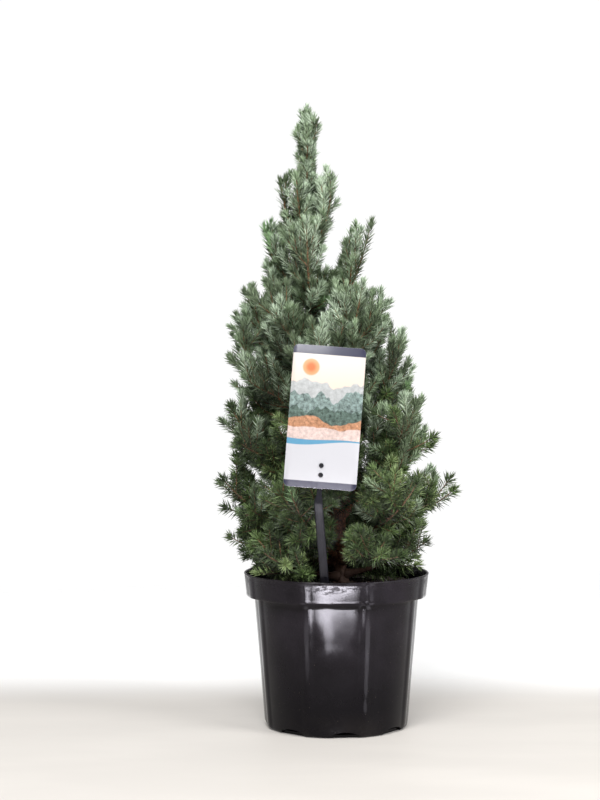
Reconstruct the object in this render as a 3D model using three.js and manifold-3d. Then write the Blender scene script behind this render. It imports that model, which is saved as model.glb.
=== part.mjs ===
// Potted dwarf blue spruce: a conical young tree, 63 cm tall with its black nursery pot.
// Millimetres, +Z up, +X to the viewer's right, -Y towards the viewer.
// The origin is the middle of the pot's flat underside.
import * as THREE from 'three';
import { mergeVertices } from 'three/addons/utils/BufferGeometryUtils.js';
import Module from 'manifold-3d';

const wasm = await Module();
wasm.setup();

// Driving sizes

const clearance = 0.3; // between two solids that touch on the real plant

const pot = {
  height: 155,
  rimRadius: 94,
  bandBottomRadius: 91.5,
  bandBottom: 132,
  bodyTopRadius: 83.5,
  baseRadius: 72.5,
  wall: 1.8,
  floor: 2.6,
  foot: 2.5, // rounding of the lower edge
  lip: 1, // rounding of the upper edge
  ribs: 8,
  ribHeight: 0.9,
  ribSharpness: 4, // higher is narrower
  ribTurn: -68, // degrees from the front to the rib on the viewer's left
  segments: 40,
  archTurn: 29, // degrees from a rib to the drainage arch beside it
  archHalfWidth: 15,
  archHeight: 5.5,
  archDepth: 5,
  archSides: 10,
};

const soil = { top: 142, mound: 3, seat: 16 };

const trunk = {
  footX: 4,
  footY: 2,
  lean: 34, // sideways drift to the viewer's left
  leanFrom: 190,
  leanTo: 470,
  bow: 5, // towards the back, half way up
  top: 566,
  footRadius: 6.6,
  topRadius: 1.5,
  flare: 3.4,
  flareHeight: 7,
  sides: 8,
  lowRings: [0, 0.01, 0.03, 0.06], // shares of the height, through the root flare
  highFrom: 0.1, // share of the height where the other rings start
  highRings: 13,
};

const treeTop = 630;

// Boughs leave the trunk in tiers. foot is where they leave it, tip is where their longest shoot
// ends, right and left are that shoot's reach from the trunk on either side of the tree, turn is
// the first bough's direction in degrees, and bare is the share of it that carries no needles.
const tiers = [
  { foot: 158, tip: 184, right: 90, left: 118, boughs: 6, turn: -9, shoots: 6, bare: 0.34 },
  { foot: 176, tip: 247, right: 124, left: 122, boughs: 6, turn: 8, shoots: 6, bare: 0.34 },
  { foot: 216, tip: 324, right: 112, left: 104, boughs: 6, turn: 24, shoots: 6, bare: 0.3 },
  { foot: 282, tip: 392, right: 96, left: 84, boughs: 5, turn: -14, shoots: 6, bare: 0 },
  { foot: 344, tip: 442, right: 78, left: 68, boughs: 5, turn: 28, shoots: 6, bare: 0 },
  { foot: 398, tip: 508, right: 66, left: 44, boughs: 4, turn: 2, shoots: 6, bare: 0 },
  { foot: 474, tip: 554, right: 30, left: 30, boughs: 4, turn: -24, shoots: 4, bare: 0 },
];

// Above them the crown narrows to a neck and widens once more round the leader.
const topSteps = [
  { tip: 580, right: 12, left: 12 },
  { tip: 604, right: 14, left: 13 },
  { tip: treeTop, right: 11, left: 11 },
];

const crown = {
  low: 0.8, // reach at the soil, as a share of the first tier's
  slack: 1.02,
  notchFrom: 5, // steps between whose tips the crown is drawn in
  notchTo: 6,
  notchDepth: 0.3,
  notchSkew: 0.6,
};

// An open place beside the trunk that lets the sky through, from front to back
const skyGap = { lowX: -6, lowZ: 470, highX: 4, highZ: 508, radius: 10 };

// Places in front of the trunk that foliage leaves open, so that the soil and its foot show
const openings = [
  { from: -24, to: 62, top: 174 },
  { from: 0, to: 11, top: 206 },
];

const bough = {
  footRadius: 3.1,
  tipRadius: 2.2,
  sides: 5,
  steps: 3,
  bendAt: 0.55, // share of the way out where the middle is
  bulge: 0.16, // how far the middle swings out, as a share of the reach
  sag: 0.34, // how much of the rise the middle has behind it
  stagger: 14, // height between neighbours' feet
  wander: { turn: 8, tip: 10, foot: 4, reach: 0.06 }, // how much boughs of a tier differ
  retreat: 2, // step by which a tip moves in to clear the label
};

const stem = { radius: 2, tipRadius: 1.3, sides: 3, steps: 3, end: 0.72, search: 0.01 };

// A shoot is a slim core whose facets are drawn out into needles.
const shoot = {
  length: 46,
  sides: 3,
  core: 2.5,
  rings: [0, 0.3, 0.66], // shares of the length
  girths: [0.7, 1, 0.85],
  bareShare: 0.25,
  needle: 12,
  needleSpread: 0.3,
  lean: 44, // degrees, needles forward from square to the shoot
  spread: 52, // degrees between a side shoot and its stem
  rise: 0.42, // how much side shoots turn up
  lengthSpread: 0.3,
  shortest: 0.65, // share of its length to which a shoot shrinks to find room
  crowding: 0.8, // least gap between shoots, as a share of a needle
  attempts: 8,
  heel: 2, // how far the end shoot reaches back into its stem
  firstSlot: 0.6, // of a slot, from the stem's end to its first side shoot
  firstTurn: 0.5, // radians by which a spiral's start differs
  middle: 0.6, // share of a shoot that must have room besides its tip
};

const leader = { stemEnd: 0.4, shoots: 6, shootLength: 0.6, seed: 2000 };

const card = {
  width: 70,
  height: 137,
  thickness: 0.8,
  corner: 5,
  cornerSteps: 4,
  x: -13,
  y: -105,
  z: 315.5,
  tilt: 4.4, // degrees, top to the viewer's right
  leanBack: 4,
  holes: [13, 22], // above the lower edge
  holeRadius: 1.9,
};

const stake = {
  width: 8.4,
  pointShare: 0.3, // of the width, at the buried end
  neckShare: 0.6, // of the width, behind the card
  thickness: 1.6,
  x: -12,
  y: -74,
  slant: 16,
  buried: 62,
  buriedShift: 2, // sideways, of the buried end
  bend: 15, // below the card's lower edge
  neck: 4,
  end: 5, // above the upper stud
  slotRings: 3, // of its course, that the soil's slot follows
  behind: 1.6,
  studRadius: 1.5,
  headRadius: 2.3,
  headHeight: 1.1,
  studSides: 10,
};

// Least distances between needles and other things
const margin = { space: 1.2, label: 5, stake: 7, rim: 4, ground: 2 };

// Stretches into which a line is split to measure distances to it
const stretches = { course: 8, limb: 2, trunk: 24 };

const firstSeed = { tier: 101, bough: 1000, perTier: 40, needles: 5000 };
const smallestPart = 1; // cubic millimetres

// Small tools

const radians = THREE.MathUtils.degToRad;
const mix = THREE.MathUtils.lerp;
const goldenAngle = Math.PI * (3 - Math.sqrt(5));

// The same run of numbers from 0 to 1 each time, for one seed.
function seeded(seed) {
  let state = seed;
  return () => {
    state = (state + 0x6d2b79f5) | 0;
    let t = Math.imul(state ^ (state >>> 15), 1 | state);
    t = (t + Math.imul(t ^ (t >>> 7), 61 | t)) ^ t;
    return ((t ^ (t >>> 14)) >>> 0) / 4294967296;
  };
}

function solidOf(geometry) {
  const bare = geometry.index ? geometry.toNonIndexed() : geometry.clone();
  bare.deleteAttribute('normal');
  bare.deleteAttribute('uv');
  const merged = mergeVertices(bare, 1e-3);
  return new wasm.Manifold(
    new wasm.Mesh({
      numProp: 3,
      vertProperties: merged.attributes.position.array,
      triVerts: new Uint32Array(merged.index.array),
    }),
  );
}

function geometryOf(solid) {
  const mesh = solid.getMesh();
  const positions = new Float32Array(mesh.numVert * 3);
  for (let i = 0; i < mesh.numVert; i++) {
    positions.set(mesh.vertProperties.subarray(i * mesh.numProp, i * mesh.numProp + 3), i * 3);
  }
  return new THREE.BufferGeometry()
    .setAttribute('position', new THREE.BufferAttribute(positions, 3))
    .setIndex(new THREE.BufferAttribute(new Uint32Array(mesh.triVerts), 1));
}

function geometryFromFaces(faces) {
  const positions = new Float32Array(faces.length * 9);
  faces.forEach((face, i) => face.forEach((p, k) => p.toArray(positions, i * 9 + k * 3)));
  return new THREE.BufferGeometry().setAttribute(
    'position',
    new THREE.BufferAttribute(positions, 3),
  );
}

// A closed body through rings of equally many corners, each counter-clockwise about the way on.
function loft(rings) {
  const faces = [];
  const first = rings[0];
  const last = rings[rings.length - 1];
  for (let i = 0; i + 1 < rings.length; i++) {
    for (let j = 0; j < first.length; j++) {
      const k = (j + 1) % first.length;
      faces.push([rings[i][j], rings[i][k], rings[i + 1][k]]);
      faces.push([rings[i][j], rings[i + 1][k], rings[i + 1][j]]);
    }
  }
  for (let j = 1; j + 1 < first.length; j++) {
    faces.push([first[0], first[j + 1], first[j]]);
    faces.push([last[0], last[j], last[j + 1]]);
  }
  return geometryFromFaces(faces);
}

// Corners of a regular ring about a centre, in the plane of two square directions.
function ringOf(centre, across, over, radius, sides, twist = 0) {
  return Array.from({ length: sides }, (_, j) => {
    const angle = twist + (2 * Math.PI * j) / sides;
    return centre
      .clone()
      .addScaledVector(across, radius * Math.cos(angle))
      .addScaledVector(over, radius * Math.sin(angle));
  });
}

// A level direction square to a way, to turn things about it.
function sideOf(way) {
  const side = new THREE.Vector3(-way.y, way.x, 0);
  if (side.length() < 0.05) side.set(1, 0, 0);
  return side.addScaledVector(way, -side.dot(way)).normalize();
}

function distanceToLine(point, line) {
  let nearest = Infinity;
  const segment = new THREE.Line3();
  const closest = new THREE.Vector3();
  for (let i = 0; i + 1 < line.length; i++) {
    segment.set(line[i], line[i + 1]).closestPointToPoint(point, true, closest);
    nearest = Math.min(nearest, closest.distanceTo(point));
  }
  return nearest;
}

// The tree's lines

function trunkAt(height) {
  const leaning = THREE.MathUtils.smoothstep(height, trunk.leanFrom, trunk.leanTo);
  const share = (height - soil.top) / (treeTop - soil.top);
  return new THREE.Vector3(
    trunk.footX - trunk.lean * leaning,
    trunk.footY + trunk.bow * Math.sin(Math.PI * share),
    height,
  );
}

function trunkRadius(height) {
  const share = (height - soil.top) / (trunk.top - soil.top);
  const flare = trunk.flare * Math.exp((soil.top - height) / trunk.flareHeight);
  return mix(trunk.footRadius, trunk.topRadius, share) + flare;
}

// A tier's reach in the direction azimuth: 0 is to the viewer's right, 90 degrees to the back.
function reachOf(tier, azimuth) {
  return mix(tier.left, tier.right, (1 + Math.cos(azimuth)) / 2);
}

// The crown's outline: how far it reaches from the trunk at a height, on one side.
function crownReach(height, azimuth) {
  const [first] = tiers;
  const low = { tip: soil.top, right: crown.low * first.right, left: crown.low * first.left };
  const steps = [low, ...tiers, ...topSteps];
  let i = 0;
  while (i + 2 < steps.length && height > steps[i + 1].tip) i++;
  const share = Math.max(0, (height - steps[i].tip) / (steps[i + 1].tip - steps[i].tip));
  const reach = mix(reachOf(steps[i], azimuth), reachOf(steps[i + 1], azimuth), share);
  if (i < crown.notchFrom || i > crown.notchTo) return reach;
  return reach * (1 - crown.notchDepth * Math.sin(Math.PI * share ** crown.notchSkew));
}

function inSkyGap(point) {
  const stepX = skyGap.highX - skyGap.lowX;
  const stepZ = skyGap.highZ - skyGap.lowZ;
  const overX = point.x - skyGap.lowX;
  const overZ = point.z - skyGap.lowZ;
  const share = (overX * stepX + overZ * stepZ) / (stepX * stepX + stepZ * stepZ);
  const near = THREE.MathUtils.clamp(share, 0, 1);
  return Math.hypot(overX - stepX * near, overZ - stepZ * near) < skyGap.radius;
}

// Where the label's card and stake are

const cardPlace = new THREE.Matrix4()
  .makeTranslation(card.x, card.y, card.z)
  .multiply(new THREE.Matrix4().makeRotationY(radians(card.tilt)))
  .multiply(new THREE.Matrix4().makeRotationX(radians(-card.leanBack)));
const cardInverse = cardPlace.clone().invert();

function behindCard(above) {
  const point = new THREE.Vector3(0, stake.behind, above - card.height / 2);
  return point.applyMatrix4(cardPlace);
}

const stakeCourse = [
  new THREE.Vector3(stake.x + stake.buriedShift, stake.y + stake.slant, soil.top - stake.buried),
  new THREE.Vector3(stake.x, stake.y, soil.top),
  behindCard(-stake.bend),
  behindCard(-stake.neck),
  behindCard(card.holes[1] + stake.end),
];

// Foliage stays behind the card and beside the stake, and lets both be seen.
function clearOfLabel(point) {
  const local = point.clone().applyMatrix4(cardInverse);
  const beside = Math.abs(local.x) > card.width / 2 + margin.label / 2;
  const beyond = Math.abs(local.z) > card.height / 2 + margin.label / 2;
  if (!beside && !beyond && local.y < margin.label) return false;
  if (point.z > card.z) return true;
  const share = (point.z - soil.top) / (behindCard(0).z - soil.top);
  const beneath = stakeCourse[1].clone().lerp(behindCard(0), share);
  return Math.abs(point.x - beneath.x) > margin.stake || point.y > beneath.y + margin.stake;
}

// Boughs

function along(plan, share) {
  const rest = 1 - share;
  return plan.start
    .clone()
    .multiplyScalar(rest * rest)
    .addScaledVector(plan.bend, 2 * share * rest)
    .addScaledVector(plan.end, share * share);
}

function wayAlong(plan, share) {
  const way = plan.bend.clone().sub(plan.start).multiplyScalar(1 - share);
  return way.addScaledVector(plan.end, share).addScaledVector(plan.bend, -share);
}

// A tapering limb along a stretch of a bough's course.
function limb(plan, from, to, footRadius, tipRadius, sides, steps) {
  const rings = Array.from({ length: steps + 1 }, (_, i) => {
    const share = mix(from, to, i / steps);
    const way = wayAlong(plan, share).normalize();
    const side = sideOf(way);
    const over = way.clone().cross(side);
    return ringOf(along(plan, share), side, over, mix(footRadius, tipRadius, i / steps), sides);
  });
  return loft(rings);
}

// A bough's course from the middle of the trunk to the tip of its longest shoot.
function planBough(t, i, random) {
  const tier = tiers[t];
  const { wander } = bough;
  const azimuth = radians(tier.turn + (360 * i) / tier.boughs + wander.turn * (random() - 0.5));
  const tipHeight = tier.tip + wander.tip * (random() - 0.5);
  const reach = reachOf(tier, azimuth) * (1 - wander.reach * random());
  const out = new THREE.Vector3(Math.cos(azimuth), Math.sin(azimuth), 0);
  const footHeight = tier.foot + bough.stagger * ((i % 2) - 0.5);
  const start = trunkAt(footHeight + wander.foot * (random() - 0.5));
  const end = trunkAt(tipHeight).addScaledVector(out, reach);
  while (!clearOfLabel(end)) end.addScaledVector(out, -bough.retreat);
  const bend = start.clone().lerp(end, bough.bendAt).addScaledVector(out, bough.bulge * reach);
  bend.z = mix(start.z, end.z, bough.sag);
  const { shoots, bare } = tier;
  const seed = firstSeed.bough + firstSeed.perTier * t + i;
  return {
    name: `tier${t + 1}_${i + 1}`,
    start,
    bend,
    end,
    bare,
    stemEnd: stem.end,
    shoots,
    shootLength: 1,
    seed,
  };
}

function planTree() {
  const plans = [];
  tiers.forEach((tier, t) => {
    const random = seeded(firstSeed.tier + t);
    for (let i = 0; i < tier.boughs; i++) plans.push(planBough(t, i, random));
  });
  const start = trunkAt(trunk.top + clearance);
  const end = trunkAt(treeTop);
  const bend = start.clone().lerp(end, 0.5);
  plans.push({ name: 'leader', start, bend, end, bare: 0, ...leader });
  for (const plan of plans) {
    plan.line = split(stretches.course, (share) => along(plan, mix(plan.bare, 1, share)));
    plan.limb = split(stretches.limb, (share) => along(plan, plan.bare * share));
    plan.inner = plan.bare;
    while (toTrunk(along(plan, plan.inner)) < 2 * stem.radius) plan.inner += stem.search;
  }
  return plans;
}

// A line of so many stretches, from where it is at each share of its length.
function split(count, pointAt) {
  return Array.from({ length: count + 1 }, (_, k) => pointAt(k / count));
}

const trunkLine = split(stretches.trunk, (share) => trunkAt(mix(soil.top, trunk.top, share)));

// Gap between a point and the trunk's bark.
function toTrunk(point) {
  if (point.z > trunk.top) return Infinity;
  return distanceToLine(point, trunkLine) - trunkRadius(point.z);
}

const plans = planTree();

// Whether a point of one bough's foliage is in its own space and clear of pot, label and limbs.
function inSpace(point, plan) {
  const own = distanceToLine(point, plan.line) + 2 * margin.space;
  if (plans.some((p) => p !== plan && distanceToLine(point, p.line) < own)) return false;
  const out = Math.hypot(point.x, point.y);
  if (out > pot.bodyTopRadius - margin.rim && point.z < pot.height + margin.rim) return false;
  if (point.z < soil.top + soil.mound + margin.ground || !clearOfLabel(point)) return false;
  const inFront = (o) => point.x > o.from && point.x < o.to && point.z < o.top;
  if (point.y < 0 && openings.some(inFront)) return false;
  if (toTrunk(point) < margin.space) return false;
  const limbGap = bough.footRadius + margin.space;
  return plans.every((p) => !p.bare || distanceToLine(point, p.limb) > limbGap);
}

function inCrown(point) {
  const middle = trunkAt(Math.min(point.z, treeTop));
  const azimuth = Math.atan2(point.y - middle.y, point.x - middle.x);
  const out = Math.hypot(point.x - middle.x, point.y - middle.y);
  const reach = crownReach(point.z, azimuth) * crown.slack;
  return point.z < treeTop && out < reach && !inSkyGap(point);
}

// Shoots of one bough: one ends its stem, the others leave the stem in a spiral.
function planShoots(plan) {
  const random = seeded(plan.seed);
  const shoots = [];
  const back = wayAlong(plan, plan.stemEnd).normalize();
  const heel = along(plan, plan.stemEnd).addScaledVector(back, -shoot.heel);
  shoots.push([heel, along(plan, 1)]);
  for (let slot = 1; slot < plan.shoots; slot++) {
    const place = (slot - 1 + shoot.firstSlot) / (plan.shoots - 1);
    const share = mix(plan.stemEnd, plan.inner, place);
    const foot = along(plan, share);
    const ahead = wayAlong(plan, share).normalize();
    const side = sideOf(ahead);
    const over = side.clone().cross(ahead);
    const longest = plan.shootLength * shoot.length * (1 + shoot.lengthSpread * (random() - 0.5));
    const firstTurn = random() * shoot.firstTurn;
    for (let attempt = 0; attempt < shoot.attempts; attempt++) {
      const turn = (slot + attempt) * goldenAngle + firstTurn;
      const spread = radians(shoot.spread);
      const way = ahead
        .clone()
        .multiplyScalar(Math.cos(spread))
        .addScaledVector(side, Math.sin(spread) * Math.cos(turn))
        .addScaledVector(over, Math.sin(spread) * Math.sin(turn));
      way.z += shoot.rise;
      way.normalize();
      const length = longest * mix(1, shoot.shortest, attempt / shoot.attempts);
      const tip = foot.clone().addScaledVector(way, length);
      const middle = foot.clone().lerp(tip, shoot.middle);
      const crowded = shoots.some((s) => distanceToLine(tip, s) < shoot.crowding * shoot.needle);
      if (!crowded && inCrown(tip) && inSpace(tip, plan) && inSpace(middle, plan)) {
        shoots.push([foot, tip]);
        break;
      }
    }
  }
  return shoots;
}

// One shoot: its core's facets become needles where these have room.
function needleShoot([foot, tip], plan, neighbours, random) {
  const axis = tip.clone().sub(foot);
  const length = axis.length();
  axis.normalize();
  const side = sideOf(axis);
  const over = axis.clone().cross(side);
  const twist = random() * Math.PI;
  const rings = shoot.rings.map((share, r) => {
    const centre = foot.clone().addScaledVector(axis, share * length);
    const turn = twist + (Math.PI / shoot.sides) * r;
    return ringOf(centre, side, over, shoot.core * shoot.girths[r], shoot.sides, turn);
  });
  const facets = [];
  for (let j = 0; j < shoot.sides; j++) {
    const k = (j + 1) % shoot.sides;
    for (let r = 0; r + 1 < rings.length; r++) {
      facets.push([rings[r][j], rings[r][k], rings[r + 1][j]]);
      facets.push([rings[r + 1][j], rings[r][k], rings[r + 1][k]]);
    }
    facets.push([rings[rings.length - 1][j], rings[rings.length - 1][k], tip]);
  }
  const faces = [[rings[0][0], rings[0][2], rings[0][1]]];
  const lean = radians(shoot.lean);
  const fits = (point) => {
    const own = distanceToLine(point, [foot, tip]);
    return inSpace(point, plan) && neighbours.every((n) => distanceToLine(point, n) > own);
  };
  for (const facet of facets) {
    const middle = facet[0].clone().add(facet[1]).add(facet[2]).divideScalar(3);
    const share = middle.clone().sub(foot).dot(axis) / length;
    const outward = middle.clone().sub(foot).addScaledVector(axis, -share * length).normalize();
    const way = outward.multiplyScalar(Math.cos(lean)).addScaledVector(axis, Math.sin(lean));
    const reach = shoot.needle * (1 + shoot.needleSpread * (random() - 0.5));
    const point = middle.clone().addScaledVector(way, reach);
    const halfWay = middle.clone().addScaledVector(way, reach / 2);
    if (share > shoot.bareShare && fits(point) && fits(halfWay)) {
      for (let j = 0; j < 3; j++) faces.push([facet[j], facet[(j + 1) % 3], point]);
    } else faces.push(facet);
  }
  return geometryFromFaces(faces);
}

// Limbs and foliage

function trunkRings(grown, cap) {
  const foot = soil.top + soil.mound + clearance - cap;
  const top = trunk.top + cap;
  const shares = [...trunk.lowRings];
  for (let i = 0; i < trunk.highRings; i++) {
    shares.push(mix(trunk.highFrom, 1, i / (trunk.highRings - 1)));
  }
  const east = new THREE.Vector3(1, 0, 0);
  const north = new THREE.Vector3(0, 1, 0);
  const growth = grown / Math.cos(Math.PI / trunk.sides);
  return shares.map((share) => {
    const height = mix(foot, top, share);
    return ringOf(trunkAt(height), east, north, trunkRadius(height) + growth, trunk.sides);
  });
}

const makeTrunk = () => loft(trunkRings(0, 0));

// The trunk grown by the clearance, to cut what meets it.
const trunkCut = solidOf(loft(trunkRings(clearance, clearance)));

// Of a cut body, the piece that reaches a bough's tip.
function outerPart(solid, plan) {
  const gap = (part) => {
    const { min, max } = part.boundingBox();
    return Math.hypot(plan.end.x - (min[0] + max[0]) / 2, plan.end.y - (min[1] + max[1]) / 2);
  };
  const parts = solid.decompose().filter((part) => part.volume() > smallestPart);
  return parts.sort((a, b) => gap(a) - gap(b))[0];
}

function makeBough(plan) {
  const end = plan.bare - clearance / (2 * wayAlong(plan, plan.bare).length());
  const { footRadius, tipRadius, sides, steps } = bough;
  const body = limb(plan, 0, end, footRadius, tipRadius, sides, steps);
  return geometryOf(outerPart(solidOf(body).subtract(trunkCut), plan));
}

function makeFoliage(plan) {
  const { radius, tipRadius, sides, steps } = stem;
  const stemBody = limb(plan, plan.bare, plan.stemEnd, radius, tipRadius, sides, steps);
  const shoots = planShoots(plan);
  const random = seeded(plan.seed + firstSeed.needles);
  const bodies = shoots.map((own) => {
    const neighbours = shoots.filter((other) => other !== own);
    return solidOf(needleShoot(own, plan, neighbours, random));
  });
  const joined = wasm.Manifold.union([solidOf(stemBody), ...bodies]);
  const cut = plan.bare ? joined : joined.subtract(trunkCut);
  return geometryOf(outerPart(cut, plan));
}

// Pot and soil

const ribTurn = radians(pot.ribTurn - 90);

function ribAt(angle) {
  return Math.max(0, 1 - pot.ribSharpness * (1 - Math.cos((angle - ribTurn) * pot.ribs)));
}

function lathe(profile, segments) {
  const points = profile.map(([r, z]) => new THREE.Vector2(r, z));
  return new THREE.LatheGeometry(points, segments).rotateX(Math.PI / 2);
}

function makePot() {
  const { wall, floor, height, lip } = pot;
  const step = pot.bandBottom;
  const innerFoot = mix(pot.baseRadius, pot.bodyTopRadius, floor / step) - wall;
  // radius, height, and 1 where the ribs stand out
  const profile = [
    [0, 0, 0],
    [pot.baseRadius - pot.foot, 0, 0],
    [pot.baseRadius, pot.foot, 1],
    [pot.bodyTopRadius, step, 1],
    [pot.bandBottomRadius, step, 1],
    [pot.rimRadius - lip / 2, height - 2 * lip, 1],
    [pot.rimRadius, height - lip, 1],
    [pot.rimRadius - lip / 2, height, 0],
    [pot.rimRadius - wall, height, 0],
    [pot.bandBottomRadius - wall, step + wall, 1],
    [pot.bodyTopRadius - wall, step + wall, 0],
    [innerFoot, floor, 0],
    [0, floor, 0],
  ];
  const geometry = lathe(profile, pot.segments);
  const corners = geometry.attributes.position;
  for (let i = 0; i < corners.count; i++) {
    if (!profile[i % profile.length][2]) continue;
    const out = Math.hypot(corners.getX(i), corners.getY(i));
    const angle = Math.atan2(corners.getY(i), corners.getX(i));
    const factor = 1 + (pot.ribHeight * ribAt(angle)) / out;
    corners.setXY(i, corners.getX(i) * factor, corners.getY(i) * factor);
  }
  let body = solidOf(geometry);
  for (let i = 0; i < pot.ribs; i++) {
    const arch = new THREE.CylinderGeometry(1, 1, 4 * pot.archDepth, pot.archSides);
    arch.rotateZ(Math.PI / 2).scale(1, pot.archHalfWidth, pot.archHeight);
    arch.translate(pot.baseRadius + pot.archDepth, 0, 0);
    arch.rotateZ(ribTurn + radians(pot.archTurn + (360 * i) / pot.ribs));
    body = body.subtract(solidOf(arch));
  }
  return geometryOf(body);
}

function makeSoil() {
  const gap = pot.wall + clearance;
  const bottom = pot.floor + clearance;
  const shelf = pot.bandBottom + gap;
  const bodyAt = (z) => mix(pot.baseRadius, pot.bodyTopRadius, z / pot.bandBottom) - gap;
  const bandShare = (z) => (z - pot.bandBottom) / (pot.height - pot.bandBottom);
  const bandAt = (z) => mix(pot.bandBottomRadius, pot.rimRadius, bandShare(z)) - gap - clearance;
  const geometry = lathe(
    [
      [0, bottom],
      [bodyAt(bottom), bottom],
      [bodyAt(pot.bandBottom), shelf],
      [bandAt(shelf), shelf],
      [bandAt(soil.top), soil.top],
      [soil.seat, soil.top + soil.mound],
      [0, soil.top + soil.mound],
    ],
    pot.segments,
  );
  return geometryOf(solidOf(geometry).subtract(stakeStrip(clearance, stake.slotRings)));
}

// Label: a card held by two studs on a thin bent stake

function stakeStrip(grown, length) {
  const across = new THREE.Vector3(1, 0, 0).transformDirection(cardPlace);
  const widths = [stake.pointShare, 1, 1, stake.neckShare, stake.neckShare];
  const course = stakeCourse.map((point) => point.clone());
  course[0].z -= grown;
  const rings = course.map((centre, i) => {
    const next = course[Math.min(i + 1, course.length - 1)];
    const last = course[Math.max(i - 1, 0)];
    const ahead = next.clone().sub(last).normalize();
    const side = across.clone().addScaledVector(ahead, -across.dot(ahead)).normalize();
    const face = ahead.clone().cross(side);
    const halfWidth = (widths[i] * stake.width) / 2 + grown;
    const halfThickness = stake.thickness / 2 + grown;
    const corner = (s, f) =>
      centre
        .clone()
        .addScaledVector(side, s * halfWidth)
        .addScaledVector(face, f * halfThickness);
    return [corner(1, 1), corner(-1, 1), corner(-1, -1), corner(1, -1)];
  });
  return solidOf(loft(rings.slice(0, length)));
}

// A round stud square to the card, between two depths from the card's middle.
function studAt(above, radius, from, to) {
  const stud = new THREE.CylinderGeometry(radius, radius, to - from, stake.studSides);
  stud.translate(0, (from + to) / 2, above - card.height / 2);
  return solidOf(stud.applyMatrix4(cardPlace));
}

function makeStake() {
  let body = stakeStrip(0, stakeCourse.length);
  const head = -card.thickness / 2 - clearance;
  for (const above of card.holes) {
    body = body.add(studAt(above, stake.studRadius, head - stake.headHeight / 2, stake.behind));
    body = body.add(studAt(above, stake.headRadius, head - stake.headHeight, head));
  }
  return geometryOf(body);
}

function makeCard() {
  const halfWidth = card.width / 2 - card.corner;
  const halfHeight = card.height / 2 - card.corner;
  const outline = new THREE.Shape();
  outline.absarc(halfWidth, -halfHeight, card.corner, -Math.PI / 2, 0);
  outline.absarc(halfWidth, halfHeight, card.corner, 0, Math.PI / 2);
  outline.absarc(-halfWidth, halfHeight, card.corner, Math.PI / 2, Math.PI);
  outline.absarc(-halfWidth, -halfHeight, card.corner, Math.PI, Math.PI * 1.5);
  for (const above of card.holes) {
    const hole = new THREE.Path();
    hole.absarc(0, above - card.height / 2, card.holeRadius, 0, 2 * Math.PI, true);
    outline.holes.push(hole);
  }
  const geometry = new THREE.ExtrudeGeometry(outline, {
    depth: card.thickness,
    bevelEnabled: false,
    curveSegments: card.cornerSteps,
  });
  geometry.rotateX(Math.PI / 2);
  geometry.translate(0, card.thickness / 2, 0);
  return geometry.applyMatrix4(cardPlace);
}

// The whole plant

const finishes = {
  pot: new THREE.MeshStandardMaterial({ color: 0x1d1b1e, roughness: 0.35, metalness: 0 }),
  soil: new THREE.MeshStandardMaterial({ color: 0x1c1512, roughness: 0.95, metalness: 0 }),
  bark: new THREE.MeshStandardMaterial({ color: 0x7a4a2f, roughness: 0.85, metalness: 0 }),
  blueNeedles: new THREE.MeshStandardMaterial({ color: 0x7f988c, roughness: 0.6, metalness: 0 }),
  greenNeedles: new THREE.MeshStandardMaterial({ color: 0x4d6b45, roughness: 0.6, metalness: 0 }),
  card: new THREE.MeshStandardMaterial({ color: 0xf1eef2, roughness: 0.35, metalness: 0 }),
  stake: new THREE.MeshStandardMaterial({ color: 0x2b2a30, roughness: 0.45, metalness: 0 }),
};

const plant = new THREE.Group();

function addNode(name, geometry, finish) {
  const mesh = new THREE.Mesh(geometry, finishes[finish].clone());
  mesh.name = name;
  plant.add(mesh);
}

addNode('pot', makePot(), 'pot');
addNode('soil', makeSoil(), 'soil');
addNode('trunk', makeTrunk(), 'bark');
for (const plan of plans) {
  if (plan.bare) addNode(`bough_${plan.name}`, makeBough(plan), 'bark');
  addNode(`foliage_${plan.name}`, makeFoliage(plan), plan.bare ? 'greenNeedles' : 'blueNeedles');
}
addNode('label_card', makeCard(), 'card');
addNode('label_stake', makeStake(), 'stake');

export default plant;
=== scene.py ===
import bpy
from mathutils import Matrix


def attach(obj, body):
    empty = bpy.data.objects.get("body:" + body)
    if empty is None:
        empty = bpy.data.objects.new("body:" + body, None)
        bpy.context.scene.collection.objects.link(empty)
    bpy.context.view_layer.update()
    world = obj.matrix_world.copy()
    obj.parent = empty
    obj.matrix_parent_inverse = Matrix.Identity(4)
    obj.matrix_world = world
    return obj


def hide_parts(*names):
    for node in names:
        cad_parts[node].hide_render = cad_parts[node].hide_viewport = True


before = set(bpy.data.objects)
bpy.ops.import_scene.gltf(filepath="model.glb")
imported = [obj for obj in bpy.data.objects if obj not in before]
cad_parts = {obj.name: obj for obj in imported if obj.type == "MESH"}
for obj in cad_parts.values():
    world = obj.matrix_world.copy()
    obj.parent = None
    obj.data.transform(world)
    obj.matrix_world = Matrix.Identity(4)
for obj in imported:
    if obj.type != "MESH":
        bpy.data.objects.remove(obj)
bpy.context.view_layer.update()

import math

import bmesh
import bpy
import numpy as np
from mathutils import Matrix, Vector, noise

# A young blue spruce in its nursery pot. Sizes are millimetres here, and metres in the meshes.
# +X is the viewer's right, -Y is towards the viewer, and the pot's flat underside is at z = 0.
mm = 0.001
goldenAngle = math.pi * (3 - math.sqrt(5))
scene = bpy.context.scene


# Numbers

def mix(a, b, share):
    return a + (b - a) * share


def evenly(first, last, count):
    return [mix(first, last, k / (count - 1)) for k in range(count)]


def smoothStep(value, low, high):
    share = min(1.0, max(0.0, (value - low) / (high - low)))
    return share * share * (3 - 2 * share)


def around(count):
    # the angles of one full turn
    return [2 * math.pi * j / count for j in range(count)]


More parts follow.
